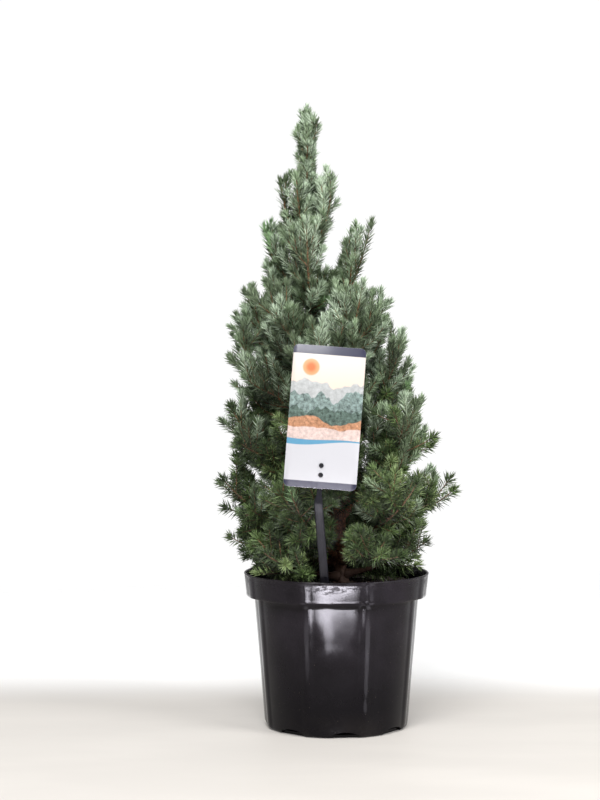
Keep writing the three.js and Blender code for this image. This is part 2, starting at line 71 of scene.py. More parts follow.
def seeded(seed):
    # the same run of numbers from 0 to 1 each time, for one seed
    state = seed

    def draw():
        nonlocal state
        state = (state + 0x6D2B79F5) & 0xFFFFFFFF
        t = ((state ^ (state >> 15)) * (1 | state)) & 0xFFFFFFFF
        t = ((t + (t ^ (t >> 7)) * (61 | t)) & 0xFFFFFFFF) ^ t
        return ((t ^ (t >> 14)) & 0xFFFFFFFF) / 4294967296

    return draw


# Node trees

def addNode(tree, kind, inputs=None, **settings):
    # inputs go by name or place, and each is a value or another node's output
    node = tree.nodes.new(kind)
    for key, value in settings.items():
        setattr(node, key, value)
    for key, value in (inputs or {}).items():
        if isinstance(value, bpy.types.NodeSocket):
            tree.links.new(value, node.inputs[key])
        else:
            node.inputs[key].default_value = value
    return node


def maths(tree, operation, a, b=0.0, c=0.0):
    return addNode(tree, "ShaderNodeMath", {0: a, 1: b, 2: c}, operation=operation).outputs[0]


def plus(tree, a, b):
    return maths(tree, "ADD", a, b)


def minus(tree, a, b):
    return maths(tree, "SUBTRACT", a, b)


def times(tree, a, b):
    return maths(tree, "MULTIPLY", a, b)


def timesPlus(tree, a, b, c):
    return maths(tree, "MULTIPLY_ADD", a, b, c)


def dividedBy(tree, a, b):
    return maths(tree, "DIVIDE", a, b)


def plusVector(tree, a, b):
    return addNode(tree, "ShaderNodeVectorMath", {0: a, 1: b}, operation="ADD").outputs[0]


def scaled(tree, vector, factor):
    node = addNode(tree, "ShaderNodeVectorMath", {0: vector, "Scale": factor}, operation="SCALE")
    return node.outputs[0]


def vectorOf(tree, x, y, z):
    return addNode(tree, "ShaderNodeCombineXYZ", {0: x, 1: y, 2: z}).outputs[0]


def axisOf(tree, vector, axis):
    return addNode(tree, "ShaderNodeSeparateXYZ", {0: vector}).outputs["XYZ".index(axis)]


def turnedAbout(tree, vector, axis, angle):
    return addNode(tree, "ShaderNodeVectorRotate",
                   {"Vector": vector, "Axis": axis, "Angle": angle}).outputs[0]


def drawnOut(tree, vector, scale):
    return addNode(tree, "ShaderNodeMapping", {"Vector": vector, "Scale": scale}).outputs[0]


def ranged(tree, value, low, high, toLow=0.0, toHigh=1.0):
    node = addNode(tree, "ShaderNodeMapRange", {0: value, 1: low, 2: high, 3: toLow, 4: toHigh})
    node.interpolation_type = "SMOOTHSTEP"
    return node.outputs[0]


def fading(tree, value, low, high):
    return ranged(tree, value, low, high, 1.0, 0.0)


def cloud(tree, place, scale, detail, roughness=0.5):
    return addNode(tree, "ShaderNodeTexNoise", {"Vector": place, "Scale": scale, "Detail": detail,
                                                "Roughness": roughness}).outputs[0]


def mixColour(tree, share, a, b):
    node = addNode(tree, "ShaderNodeMix", data_type="RGBA")
    for key, value in ((0, share), (6, a), (7, b)):
        socket = node.inputs[key]
        if isinstance(value, bpy.types.NodeSocket):
            tree.links.new(value, socket)
        else:
            socket.default_value = value if key == 0 else (*value, 1)
    return node.outputs[2]


def objectPlace(tree):
    return addNode(tree, "ShaderNodeTexCoord").outputs["Object"]


def surfaceNormal(tree):
    return addNode(tree, "ShaderNodeNewGeometry").outputs["Normal"]


def newGroup(kind, name, inputs, outputs):
    # an input's value gives its type, and one without a value has its type's name instead
    tree = bpy.data.node_groups.new(name, kind)
    for label, value in inputs.items():
        named = isinstance(value, str)
        typeName = value if named else type(value).__name__.capitalize()
        socket = tree.interface.new_socket(label, in_out="INPUT", socket_type="NodeSocket" + typeName)
        if not named:
            socket.default_value = value
    for label in outputs:
        typeName = "Geometry" if label == "Geometry" else "Float"
        tree.interface.new_socket(label, in_out="OUTPUT", socket_type="NodeSocket" + typeName)
    groupIn = tree.nodes.new("NodeGroupInput")
    groupOut = tree.nodes.new("NodeGroupOutput")
    return tree, groupIn.outputs, groupOut.inputs


# Meshes and pieces

def newObject(name, data):
    thing = bpy.data.objects.new(name, data)
    scene.collection.objects.link(thing)
    return thing


def meshOf(name, points, faces):
    # points in millimetres
    mesh = bpy.data.meshes.new(name)
    mesh.from_pydata([tuple(c * mm for c in point) for point in points], [], faces)
    mesh.update()
    return mesh


def wrap(rings, fromAbove=False):
    # points and faces of a closed skin over rings of points, where a ring of one point is a pole
    sides = max(len(ring) for ring in rings)
    points, spots, faces = [], [], []
    for ring in rings:
        spots.append([len(points) + j % len(ring) for j in range(sides)])
        points += ring
    for low, high in zip(spots, spots[1:]):
        for j in range(sides):
            k = (j + 1) % sides
            face = (low[j], high[j], high[k], low[k]) if fromAbove else (low[j], low[k], high[k], high[j])
            faces.append(tuple(dict.fromkeys(face)))
    return points, faces


def tube(rings):
    # the same, with each end closed by a fan
    ends = [sum((Vector(p) for p in ring), Vector()) / len(ring) for ring in (rings[0], rings[-1])]
    return wrap([[ends[0]], *rings, [ends[1]]])


def joined(shapes):
    # several lists of points and faces as one
    points, faces = [], []
    for ownPoints, ownFaces in shapes:
        faces += [tuple(k + len(points) for k in face) for face in ownFaces]
        points += ownPoints
    return points, faces


def finish(thing, material, sharpFrom=None):
    # one material, smooth faces, and sharp edges from an angle in degrees
    thing.data.materials.clear()
    thing.data.materials.append(material)
    thing.data.polygons.foreach_set("use_smooth", [True] * len(thing.data.polygons))
    if sharpFrom:
        thing.data.set_sharp_from_angle(angle=math.radians(sharpFrom))


def bakeModifiers(thing):
    # the evaluated shape becomes the object's own mesh, and no modifier is left
    graph = bpy.context.evaluated_depsgraph_get()
    result = bpy.data.meshes.new_from_object(thing.evaluated_get(graph))
    old = thing.data
    thing.modifiers.clear()
    thing.data = result
    result.name = thing.name
    bpy.data.meshes.remove(old)


def removeObject(thing):
    data = thing.data
    bpy.data.objects.remove(thing)
    store = bpy.data.curves if isinstance(data, bpy.types.Curve) else bpy.data.meshes
    store.remove(data)


def keepPiece(piece, nodes):
    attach(piece, "root")
    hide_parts(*nodes)
    print(piece.name, len(piece.data.polygons), "faces")


def growWith(tree, name, inputs):
    # runs a Geometry Nodes tree on an empty mesh and keeps what it makes
    thing = newObject(name, bpy.data.meshes.new(name))
    modifier = thing.modifiers.new("grow", "NODES")
    modifier.node_group = tree
    for label, value in inputs.items():
        modifier[tree.interface.items_tree[label].identifier] = value
    bakeModifiers(thing)
    return thing


def shapeOf(tree, source):
    return addNode(tree, "GeometryNodeObjectInfo", {"Object": source}).outputs["Geometry"]


def placedOn(tree, spots, shape, rotation, scale):
    return addNode(tree, "GeometryNodeInstanceOnPoints",
                   {"Points": spots, "Instance": shape, "Rotation": rotation, "Scale": scale}).outputs[0]


def endTree(tree, shape, material, out):
    real = addNode(tree, "GeometryNodeRealizeInstances", {0: shape}).outputs[0]
    done = addNode(tree, "GeometryNodeSetMaterial", {"Geometry": real, "Material": material})
    tree.links.new(done.outputs[0], out["Geometry"])
    return tree


# Shared effects of the materials

def makeMottleGroup():
    # uneven tone, at two sizes in millimetres, and fine grain for a bump
    tree, given, out = newGroup("ShaderNodeTree", "mottle", {"Size": 20.0, "Grain": 2.0, "Contrast": 1.0},
                                ("Tone", "Height"))
    place = objectPlace(tree)
    broad = cloud(tree, place, dividedBy(tree, 1000.0, given["Size"]), 3.0)
    fine = cloud(tree, place, dividedBy(tree, 1000.0, given["Grain"]), 2.0)
    tone = plus(tree, times(tree, broad, 0.65), times(tree, fine, 0.35))
    centred = timesPlus(tree, minus(tree, tone, 0.5), given["Contrast"], 0.5)
    tree.links.new(centred, out["Tone"])
    tree.links.new(fine, out["Height"])
    return tree


def makeDustGroup():
    # specks and a thin film, thicker on what faces up and low down
    tree, given, out = newGroup("ShaderNodeTree", "dust",
                                {"Amount": 0.5, "Low": 0.0, "High": 0.03, "Speck": 1.2},
                                ("Film", "Specks"))
    place = objectPlace(tree)
    above = minus(tree, axisOf(tree, place, "Z"), given["Low"])
    lowDown = fading(tree, dividedBy(tree, above, given["High"]), 0.0, 1.0)
    facing = ranged(tree, axisOf(tree, surfaceNormal(tree), "Z"), 0.2, 0.9)
    base = maths(tree, "MAXIMUM", facing, times(tree, lowDown, 0.6))
    patchy = times(tree, base, ranged(tree, cloud(tree, place, 38.0, 5.0), 0.35, 0.7))
    tree.links.new(times(tree, patchy, given["Amount"]), out["Film"])
    cells = addNode(tree, "ShaderNodeTexVoronoi",
                    {"Vector": place, "Scale": dividedBy(tree, 400.0, given["Speck"])}).outputs
    near = fading(tree, cells["Distance"], 0.06, 0.12)
    rare = ranged(tree, axisOf(tree, cells["Color"], "X"), 0.86, 0.88)
    tree.links.new(times(tree, times(tree, near, rare), given["Amount"]), out["Specks"])
    return tree


def makeScuffGroup():
    # long fine scratches that run both ways round a moulded wall
    tree, given, out = newGroup("ShaderNodeTree", "scuffs", {"Amount": 0.5, "Length": 20.0},
                                ("Scratches",))
    place = objectPlace(tree)
    scale = dividedBy(tree, 1000.0, given["Length"])
    marks = []
    for turn, stretch in ((0.5, 14.0), (-0.9, 11.0)):
        drawn = drawnOut(tree, turnedAbout(tree, place, (0, 1, 0), turn), (stretch, stretch, 1))
        marks.append(ranged(tree, cloud(tree, drawn, scale, 1.0), 0.69, 0.73))
    tree.links.new(times(tree, maths(tree, "MAXIMUM", *marks), given["Amount"]), out["Scratches"])
    return tree


groups = {"mottle": makeMottleGroup(), "dust": makeDustGroup(), "scuffs": makeScuffGroup()}


def effect(tree, name, **values):
    # puts a shared effect into a material's tree
    node = addNode(tree, "ShaderNodeGroup", node_tree=groups[name])
    for key, value in values.items():
        node.inputs[key.capitalize()].default_value = value
    return node.outputs


def newMaterial(name, constants=()):
    # a Principled surface with its plain values, and the tree to build on
    material = bpy.data.materials.new(name)
    material.use_nodes = True
    tree = material.node_tree
    surface = tree.nodes["Principled BSDF"].inputs
    for key, value in dict(constants).items():
        surface[key].default_value = value
    return material, tree, surface


def paint(tree, surface, colour, tone, roughness, toneRange=(0.2, 0.8)):
    # a colour, and a roughness that follows a tone over the surface
    tree.links.new(colour, surface["Base Color"])
    tree.links.new(ranged(tree, tone, *toneRange, *roughness), surface["Roughness"])


def bump(tree, surface, height, strength, distance):
    # distance in millimetres
    node = addNode(tree, "ShaderNodeBump",
                   {"Strength": strength, "Distance": distance * mm, "Height": height})
    tree.links.new(node.outputs[0], surface["Normal"])


print("node groups ready")

# The tree's rule, as the solids have it

trunk = {"footX": 4, "footY": 2, "lean": 34, "leanFrom": 190, "leanTo": 470, "bow": 5, "top": 566,
         "footRadius": 6.6, "topRadius": 1.5, "flare": 3.4, "flareHeight": 7}
soil = {"top": 142, "mound": 3}
potRim = {"height": 155, "bodyTopRadius": 83.5}
treeTop = 630
tierKeys = ("foot", "tip", "right", "left", "boughs", "turn", "shoots", "bare")
tiers = [dict(zip(tierKeys, tier)) for tier in (
    (158, 184, 90, 118, 6, -9, 6, 0.34),
    (176, 247, 124, 122, 6, 8, 6, 0.34),
    (216, 324, 112, 104, 6, 24, 6, 0.3),
    (282, 392, 96, 84, 5, -14, 6, 0),
    (344, 442, 78, 68, 5, 28, 6, 0),
    (398, 508, 66, 44, 4, 2, 6, 0),
    (474, 554, 30, 30, 4, -24, 4, 0))]
topSteps = [{"tip": 580, "right": 12, "left": 12}, {"tip": 604, "right": 14, "left": 13},
            {"tip": treeTop, "right": 11, "left": 11}]
crown = {"low": 0.8, "slack": 1.02, "notchFrom": 5, "notchTo": 6, "notchDepth": 0.3, "notchSkew": 0.6}
skyGap = {"lowX": -6, "lowZ": 470, "highX": 4, "highZ": 508, "radius": 10}
# places in front of the trunk that growth leaves open, so that the peat and the trunk's foot show
openings = [{"from": -24, "to": 62, "top": 174}, {"from": 0, "to": 11, "top": 206}]
bough = {"footRadius": 3.1, "tipRadius": 2.2, "bulge": 0.16, "sag": 0.34, "bendAt": 0.55, "stagger": 14,
         "turn": 8, "tip": 10, "foot": 4, "reach": 0.06}
stem = {"radius": 2, "tipRadius": 0.9, "end": 0.72}
shoot = {"length": 46, "needle": 12, "spread": 52, "rise": 0.42, "lengthSpread": 0.3,
         "shortest": 0.65, "crowding": 0.8, "attempts": 8, "heel": 2, "firstSlot": 0.6,
         "firstTurn": 0.5, "middle": 0.6}
leader = {"stemEnd": 0.4, "shoots": 6, "shootLength": 0.6, "seed": 2000, "gap": 0.3}
card = {"width": 70, "height": 137, "thickness": 0.8, "corner": 5, "x": -13, "y": -105, "z": 315.5,
        "tilt": 4.4, "leanBack": 4, "holes": (13, 22)}
stake = {"width": 8.4, "neckShare": 0.6, "thickness": 1.6, "x": -12, "y": -74, "slant": 16,
         "buried": 62, "behind": 1.6, "headRadius": 2.3}
margin = {"space": 1.2, "label": 5, "stake": 7, "rim": 4, "ground": 2}
firstSeed = {"tier": 101, "bough": 1000, "perTier": 40}


def trunkAt(height):
    leaning = smoothStep(height, trunk["leanFrom"], trunk["leanTo"])
    share = (height - soil["top"]) / (treeTop - soil["top"])
    return Vector((trunk["footX"] - trunk["lean"] * leaning,
                   trunk["footY"] + trunk["bow"] * math.sin(math.pi * share), height))


def trunkRadius(height):
    share = (height - soil["top"]) / (trunk["top"] - soil["top"])
    flare = trunk["flare"] * math.exp((soil["top"] - height) / trunk["flareHeight"])
    return mix(trunk["footRadius"], trunk["topRadius"], share) + flare


def reachOf(tier, azimuth):
    return mix(tier["left"], tier["right"], (1 + math.cos(azimuth)) / 2)


def crownReach(height, azimuth):
    low = {"tip": soil["top"], **{side: crown["low"] * tiers[0][side] for side in ("right", "left")}}
    steps = [low, *tiers, *topSteps]
    i = 0
    while i + 2 < len(steps) and height > steps[i + 1]["tip"]:
        i += 1
    share = max(0, (height - steps[i]["tip"]) / (steps[i + 1]["tip"] - steps[i]["tip"]))
    reach = mix(reachOf(steps[i], azimuth), reachOf(steps[i + 1], azimuth), share)
    if crown["notchFrom"] <= i <= crown["notchTo"]:
        reach *= 1 - crown["notchDepth"] * math.sin(math.pi * share ** crown["notchSkew"])
    return reach


def inSkyGap(point):
    # the open place beside the trunk that lets the sky through, from front to back
    stepX, stepZ = skyGap["highX"] - skyGap["lowX"], skyGap["highZ"] - skyGap["lowZ"]
    overX, overZ = point.x - skyGap["lowX"], point.z - skyGap["lowZ"]
    share = min(1, max(0, (overX * stepX + overZ * stepZ) / (stepX * stepX + stepZ * stepZ)))
    return math.hypot(overX - stepX * share, overZ - stepZ * share) < skyGap["radius"]


cardPlace = (Matrix.Translation((card["x"], card["y"], card["z"]))
             @ Matrix.Rotation(math.radians(card["tilt"]), 4, "Y")
             @ Matrix.Rotation(math.radians(-card["leanBack"]), 4, "X"))
cardInverse = cardPlace.inverted()


def behindCard(above):
    return cardPlace @ Vector((0, stake["behind"], above - card["height"] / 2))


stakeFoot = Vector((stake["x"], stake["y"], soil["top"]))


def clearOfLabel(point):
    local = cardInverse @ point
    beside = abs(local.x) > card["width"] / 2 + margin["label"] / 2
    beyond = abs(local.z) > card["height"] / 2 + margin["label"] / 2
    if not beside and not beyond and local.y < margin["label"]:
        return False
    if point.z > card["z"]:
        return True
    share = (point.z - soil["top"]) / (behindCard(0).z - soil["top"])
    beneath = stakeFoot.lerp(behindCard(0), share)
    return abs(point.x - beneath.x) > margin["stake"] or point.y > beneath.y + margin["stake"]


def along(plan, share):
    rest = 1 - share
    return plan["start"] * rest * rest + plan["bend"] * 2 * share * rest + plan["end"] * share * share


def wayAlong(plan, share):
    return (plan["bend"] - plan["start"]) * (1 - share) + (plan["end"] - plan["bend"]) * share


def sideOf(way):
    side = Vector((-way.y, way.x, 0))
    if side.length < 0.05:
        side = Vector((1, 0, 0))
    return (side - way * side.dot(way)).normalized()


def planBough(t, i, draw):
    tier = tiers[t]
    azimuth = math.radians(tier["turn"] + 360 * i / tier["boughs"] + bough["turn"] * (draw() - 0.5))
    tipHeight = tier["tip"] + bough["tip"] * (draw() - 0.5)
    reach = reachOf(tier, azimuth) * (1 - bough["reach"] * draw())
    out = Vector((math.cos(azimuth), math.sin(azimuth), 0))
    footHeight = tier["foot"] + bough["stagger"] * (i % 2 - 0.5)
    start = trunkAt(footHeight + bough["foot"] * (draw() - 0.5))
    end = trunkAt(tipHeight) + out * reach
    while not clearOfLabel(end):
        end -= out * 2
    bend = start.lerp(end, bough["bendAt"]) + out * bough["bulge"] * reach
    bend.z = mix(start.z, end.z, bough["sag"])
    return {"name": f"tier{t + 1}_{i + 1}", "tier": t, "start": start, "bend": bend, "end": end,
            "bare": tier["bare"], "stemEnd": stem["end"], "shoots": tier["shoots"], "shootLength": 1,
            "seed": firstSeed["bough"] + firstSeed["perTier"] * t + i}


def planTree():
    plans = []
    for t, tier in enumerate(tiers):
        draw = seeded(firstSeed["tier"] + t)
        plans += [planBough(t, i, draw) for i in range(tier["boughs"])]
    start = trunkAt(trunk["top"] + leader["gap"])
    end = trunkAt(treeTop)
    plans.append({"name": "leader", "tier": len(tiers), "start": start, "bend": start.lerp(end, 0.5),
                  "end": end, "bare": 0, **leader})
    return plans


class Lines:
    # many polylines at once, to measure gaps to all of them in one go

    def __init__(self, lines):
        pairs = [(a, b) for line in lines for a, b in zip(line, line[1:])]
        self.starts = np.array([a for a, _ in pairs])
        self.steps = np.array([b - a for a, b in pairs])
        self.squares = np.maximum((self.steps ** 2).sum(axis=1), 1e-9)
        self.shape = (len(lines), len(lines[0]) - 1)

    def gaps(self, point):
        away = np.array(point) - self.starts
        shares = np.clip((away * self.steps).sum(axis=1) / self.squares, 0, 1)
        lengths = np.linalg.norm(away - self.steps * shares[:, None], axis=1)
        return lengths.reshape(self.shape).min(axis=1)


plans = planTree()
crownLines = Lines([[along(p, share) for share in evenly(p["bare"], 1, 9)] for p in plans])
limbLines = Lines([[along(p, share) for share in evenly(0, p["bare"], 3)] for p in plans if p["bare"]])
trunkLine = Lines([[trunkAt(height) for height in evenly(soil["top"], trunk["top"], 25)]])


def toTrunk(point):
    if point.z > trunk["top"]:
        return math.inf
    return trunkLine.gaps(point)[0] - trunkRadius(point.z)


for number, plan in enumerate(plans):
    plan["number"] = number
    plan["inner"] = plan["bare"]
    while toTrunk(along(plan, plan["inner"])) < 2 * stem["radius"]:
        plan["inner"] += 0.01


def inSpace(point, plan):
    gaps = crownLines.gaps(point)
    own = gaps[plan["number"]] + 2 * margin["space"]
    gaps[plan["number"]] = math.inf
    if (gaps < own).any():
        return False
    out = math.hypot(point.x, point.y)
    if out > potRim["bodyTopRadius"] - margin["rim"] and point.z < potRim["height"] + margin["rim"]:
        return False
    if point.z < soil["top"] + soil["mound"] + margin["ground"] or not clearOfLabel(point):
        return False
    if point.y < 0 and any(o["from"] < point.x < o["to"] and point.z < o["top"] for o in openings):
        return False
    if toTrunk(point) < margin["space"]:
        return False
    return (limbLines.gaps(point) > bough["footRadius"] + margin["space"]).all()


def inCrown(point, slack=crown["slack"]):
    middle = trunkAt(min(point.z, treeTop))
    azimuth = math.atan2(point.y - middle.y, point.x - middle.x)
    out = math.hypot(point.x - middle.x, point.y - middle.y)
    return point.z < treeTop and out < crownReach(point.z, azimuth) * slack and not inSkyGap(point)


def sideWay(ahead, spread, turn, rise):
    # a direction that leaves another one by a spread, turned about it and lifted
    side = sideOf(ahead)
    over = side.cross(ahead)
    way = ahead * math.cos(spread)
    way += (side * math.cos(turn) + over * math.sin(turn)) * math.sin(spread)
    way.z += rise
    return way.normalized()


def gapToShoots(point, shoots):
    return Lines(shoots).gaps(point).min()


def planShoots(plan):
    draw = seeded(plan["seed"])
    heel = along(plan, plan["stemEnd"]) - wayAlong(plan, plan["stemEnd"]).normalized() * shoot["heel"]
    shoots = [[heel, along(plan, 1)]]
    for slot in range(1, plan["shoots"]):
        place = (slot - 1 + shoot["firstSlot"]) / (plan["shoots"] - 1)
        share = mix(plan["stemEnd"], plan["inner"], place)
        foot = along(plan, share)
        ahead = wayAlong(plan, share).normalized()
        longest = plan["shootLength"] * shoot["length"] * (1 + shoot["lengthSpread"] * (draw() - 0.5))
        firstTurn = draw() * shoot["firstTurn"]
        for attempt in range(shoot["attempts"]):
            turn = (slot + attempt) * goldenAngle + firstTurn
            way = sideWay(ahead, math.radians(shoot["spread"]), turn, shoot["rise"])
            tip = foot + way * longest * mix(1, shoot["shortest"], attempt / shoot["attempts"])
            if gapToShoots(tip, shoots) < shoot["crowding"] * shoot["needle"] or not inCrown(tip):
                continue
            if inSpace(tip, plan) and inSpace(foot.lerp(tip, shoot["middle"]), plan):
                shoots.append([foot, tip])
                break
    return shoots


for plan in plans:
    plan["mains"] = planShoots(plan)
print("rule gives", sum(len(plan["mains"]) for plan in plans), "main shoots")

# Finer growth: side shoots on the main ones, short shoots on stems and boughs, and a last round
# of tries wherever the mass still has room

growth = {
    "highUp": (220, 420),  # heights between which low growth turns into high growth
    "nearTop": (480, 580),  # heights between which it thins out towards the top
    "sideEvery": (10, 12.5),  # length of a shoot for each side shoot it tries, below and near the top
    "sideOn": (0.14, 0.86),  # the share of a shoot that carries side shoots
    "sideSpread": (46, 30),  # degrees, low in the tree and high in it
    "sideScatter": 12,
    "sideRise": (0.25, 0.75),
    "sideLength": (22, 36),
    "sideTaper": (1.1, 0.75),
    "stemShoots": (9, 6),
    "stemLength": (20, 34),
    "stemSpread": 58,
    "boughFrom": 0.3,  # share of a bare bough from which it carries a few shoots
    "boughShoots": 6,
    "fillTries": (45, 6),
    "fillSpread": (35, 90),
    "fillLength": (17, 28),
    "slack": (0.86, 0.98),  # share of the crown's reach that is open to side shoots
    "fillSlack": 0.72,
    "gap": 6,  # least distance from a new tip to the other shoots
    "attempts": 7,
    "shortest": 0.7,  # a shoot that finds no room is tried down to this share of its length
    "middle": 0.55,
    "seedShift": 9000,
    "leaderSize": 0.55,
    "leaderRise": 1.3,
    "neckShoots": 20,
    "neckHeights": (540, 580),
    "neckLength": (28, 42),
    "apex": 3,  # how far below the treetop every shoot ends, so that its needles reach it
}


def tryShoot(plan, shoots, foot, way, length, spread, rise, firstTurn, slack, gap):
    for attempt in range(growth["attempts"]):
        side = sideWay(way, math.radians(spread), firstTurn + attempt * goldenAngle, rise)
        tip = foot + side * length * mix(1, growth["shortest"], attempt / growth["attempts"])
        if not inCrown(tip, slack) or gapToShoots(tip, shoots) < gap:
            continue
        if inSpace(tip, plan) and inSpace(foot.lerp(tip, growth["middle"]), plan):
            return [foot, tip]
    return None


def growShoots(plan):
    # each shoot is its foot and tip, and whether it is one of the main ones
    draw = seeded(plan["seed"] + growth["seedShift"])
    lines = list(plan["mains"])
    isLeader = plan["name"] == "leader"
    size = growth["leaderSize"] if isLeader else 1
    high = smoothStep(plan["end"].z, *growth["highUp"])
    rise = growth["leaderRise"] if isLeader else mix(*growth["sideRise"], high)
    airy = 0 if isLeader else smoothStep(plan["end"].z, *growth["nearTop"])
    slack = mix(*growth["slack"], high)

    def addShoot(foot, way, length, spread, turn, within=slack):
        line = tryShoot(plan, lines, foot, way, size * length, spread, rise, turn, within,
                        size * growth["gap"])
        if line:
            lines.append(line)

    for foot, tip in plan["mains"]:
        way = (tip - foot).normalized()
        count = round((tip - foot).length / mix(*growth["sideEvery"], airy))
        for k in range(count):
            share = mix(*growth["sideOn"], (k + draw()) / count)
            length = mix(*growth["sideLength"], draw()) * mix(*growth["sideTaper"], share)
            spread = mix(*growth["sideSpread"], high) + growth["sideScatter"] * (draw() - 0.5)
            addShoot(foot.lerp(tip, share), way, length, spread, k * goldenAngle + 2 * math.pi * draw())
    stretches = [(plan["inner"], plan["stemEnd"], round(mix(*growth["stemShoots"], airy)))]
    if plan["bare"]:
        stretches.append((plan["bare"] * growth["boughFrom"], plan["bare"], growth["boughShoots"]))
    for first, last, count in stretches:
        for k in range(count):
            share = mix(first, last, (k + draw()) / count)
            addShoot(along(plan, share), wayAlong(plan, share).normalized(),
                     mix(*growth["stemLength"], draw()), growth["stemSpread"], k * goldenAngle + draw())
    for k in range(round(mix(*growth["fillTries"], airy))):
        foot, tip = lines[int(draw() * len(lines))]
        spread = mix(*growth["fillSpread"], draw() ** 2)
        addShoot(foot.lerp(tip, draw()), (tip - foot).normalized(), mix(*growth["fillLength"], draw()),
                 spread, 2 * math.pi * draw(), growth["fillSlack"])
    if isLeader:
        # short shoots on the trunk close the neck below the leader's own stem
        for k in range(growth["neckShoots"]):
            foot = trunkAt(mix(*growth["neckHeights"], (k + draw()) / growth["neckShoots"]))
            addShoot(foot, Vector((0, 0, 1)), mix(*growth["neckLength"], draw()), growth["stemSpread"],
                     k * goldenAngle + draw())
    for _, tip in lines:
        tip.z = min(tip.z, treeTop - growth["apex"])
    return [{"line": line, "isMain": k < len(plan["mains"])} for k, line in enumerate(lines)]


for plan in plans:
    plan["grown"] = growShoots(plan)
print("grown to", sum(len(plan["grown"]) for plan in plans), "shoots")

# Trunk and boughs with their bark's relief

bark = {
    "ring": 1.5,  # height of a ring of faces
    "sides": 30,
    "buried": 2,
    "past": 0.2,  # above the solid trunk's end
    "relief": 0.55,
    "fullFrom": 5,  # radius from which the relief is at its full height
    "flake": 4.5,
    "flakeSquash": 0.55,  # flakes are longer than wide
    "crack": (0.02, 0.35),
    "rootLobes": 5,
    "rootDepth": 1.3,
    "rootHeight": 12,
    "boughRing": 1.6,
    "boughSides": 14,
    "boughRelief": 0.32,
    "boughFlake": 3.15,
    "collar": 2.2,  # swelling where a bough leaves the trunk
    "collarLength": 7,
    "footShade": (152, 192),  # heights between which the painted shade at the trunk's foot fades
}


def barkRelief(place, flake):
    # raised flakes with cracks between them, from -1 to 1
    spot = Vector((place.x, place.y, place.z * bark["flakeSquash"])) / flake
    distances, _ = noise.voronoi(spot)
    crack = smoothStep(distances[1] - distances[0], *bark["crack"])
    return 2 * crack - 1 + 0.6 * noise.noise(spot * 2.7)


def barkRing(centre, side, across, radius, sides, relief, flake, swell=None):
    ring = []
    for angle in around(sides):
        out = side * math.cos(angle) + across * math.sin(angle)
        raised = relief * barkRelief(centre + out * radius, flake) + (swell(angle) if swell else 0)
        ring.append(centre + out * (radius + raised))
    return ring


def trunkShape():
    foot = soil["top"] - bark["buried"]
    count = round((trunk["top"] - foot) / bark["ring"])
    rings = []
    for i in range(count + 1):
        height = mix(foot, trunk["top"] + bark["past"], i / count)
        radius = trunkRadius(max(height, soil["top"] + soil["mound"]))
        low = math.exp((soil["top"] + soil["mound"] - height) / bark["rootHeight"])

        def lobes(angle):
            swell = bark["rootDepth"] * min(1, low) * math.cos(bark["rootLobes"] * angle + 0.7)
            return swell - bark["relief"] / 2

        thin = bark["relief"] * min(1, radius / bark["fullFrom"])
        rings.append(barkRing(trunkAt(height), Vector((1, 0, 0)), Vector((0, 1, 0)), radius,
                              bark["sides"], thin, bark["flake"], lobes))
    return tube(rings)


def boughShape(plan):
    steps = [along(plan, share) for share in evenly(0, plan["bare"], 9)]
    length = sum((b - a).length for a, b in zip(steps, steps[1:]))
    toBark = trunkRadius(plan["start"].z)
    count = round(length / bark["boughRing"])
    rings = []
    for i in range(count + 1):
        part = mix(toBark / 2 / length, 1, i / count)
        share = plan["bare"] * part
        way = wayAlong(plan, share).normalized()
        side = sideOf(way)
        radius = mix(bough["footRadius"], bough["tipRadius"], part)
        radius += bark["collar"] * math.exp(-max(0, part * length - toBark) / bark["collarLength"])
        rings.append(barkRing(along(plan, share), side, way.cross(side), radius, bark["boughSides"],
                              bark["boughRelief"], bark["boughFlake"]))
    return tube(rings)


def barkMaterial(name, pale, dark, moss):
    material, tree, surface = newMaterial(name)
    mottle = effect(tree, "mottle", size=9.0, grain=0.9, contrast=1.9)
    place = objectPlace(tree)
    flakes = addNode(tree, "ShaderNodeTexVoronoi", {"Vector": place, "Scale": 1000 / bark["flake"]},
                     feature="DISTANCE_TO_EDGE").outputs
    crack = fading(tree, flakes["Distance"], 0.02, 0.22)
    base = mixColour(tree, mottle["Tone"], dark, pale)
    mossy = mixColour(tree, ranged(tree, mottle["Height"], 0.62, 0.78), base, moss)
    cracked = mixColour(tree, times(tree, crack, 0.65), mossy, [c * 0.3 for c in dark])
    # painted shade: the bark darkens towards the peat, where the trunk's foot lies in shade
    footShade = fading(tree, axisOf(tree, place, "Z"), *(height * mm for height in bark["footShade"]))
    shadedFoot = mixColour(tree, footShade, cracked, [c * 0.15 for c in dark])
    paint(tree, surface, shadedFoot, mottle["Tone"], (0.95, 0.7))
    bump(tree, surface, mottle["Height"], 0.6, 0.5)
    return material


barkBrown = barkMaterial("bark", (0.58, 0.26, 0.135), (0.25, 0.105, 0.055), (0.40, 0.34, 0.25))
stemBrown = barkMaterial("stemBark", (0.40, 0.19, 0.085), (0.17, 0.08, 0.04), (0.30, 0.27, 0.22))
twigBrown = barkMaterial("twigBark", (0.34, 0.18, 0.085), (0.17, 0.09, 0.042), (0.28, 0.24, 0.13))

barePlans = [plan for plan in plans if plan["bare"]]
for name, shape, nodes in (
        ("trunk_bark", trunkShape(), ["trunk"]),
        ("boughs_bark", joined(boughShape(plan) for plan in barePlans),
         [f"bough_{plan['name']}" for plan in barePlans])):
    piece = newObject(name, meshOf(name, *shape))
    finish(piece, barkBrown)
    keepPiece(piece, nodes)

# Stems and twigs: paths with a radius, swept by one node tree

twig = {"mainRadius": 1.15, "sideRadius": 0.6, "tipRadius": 0.35, "droop": 0.09, "points": 5,
        "sides": 6}
stemPath = {"points": 10, "past": 0.02, "sides": 9}


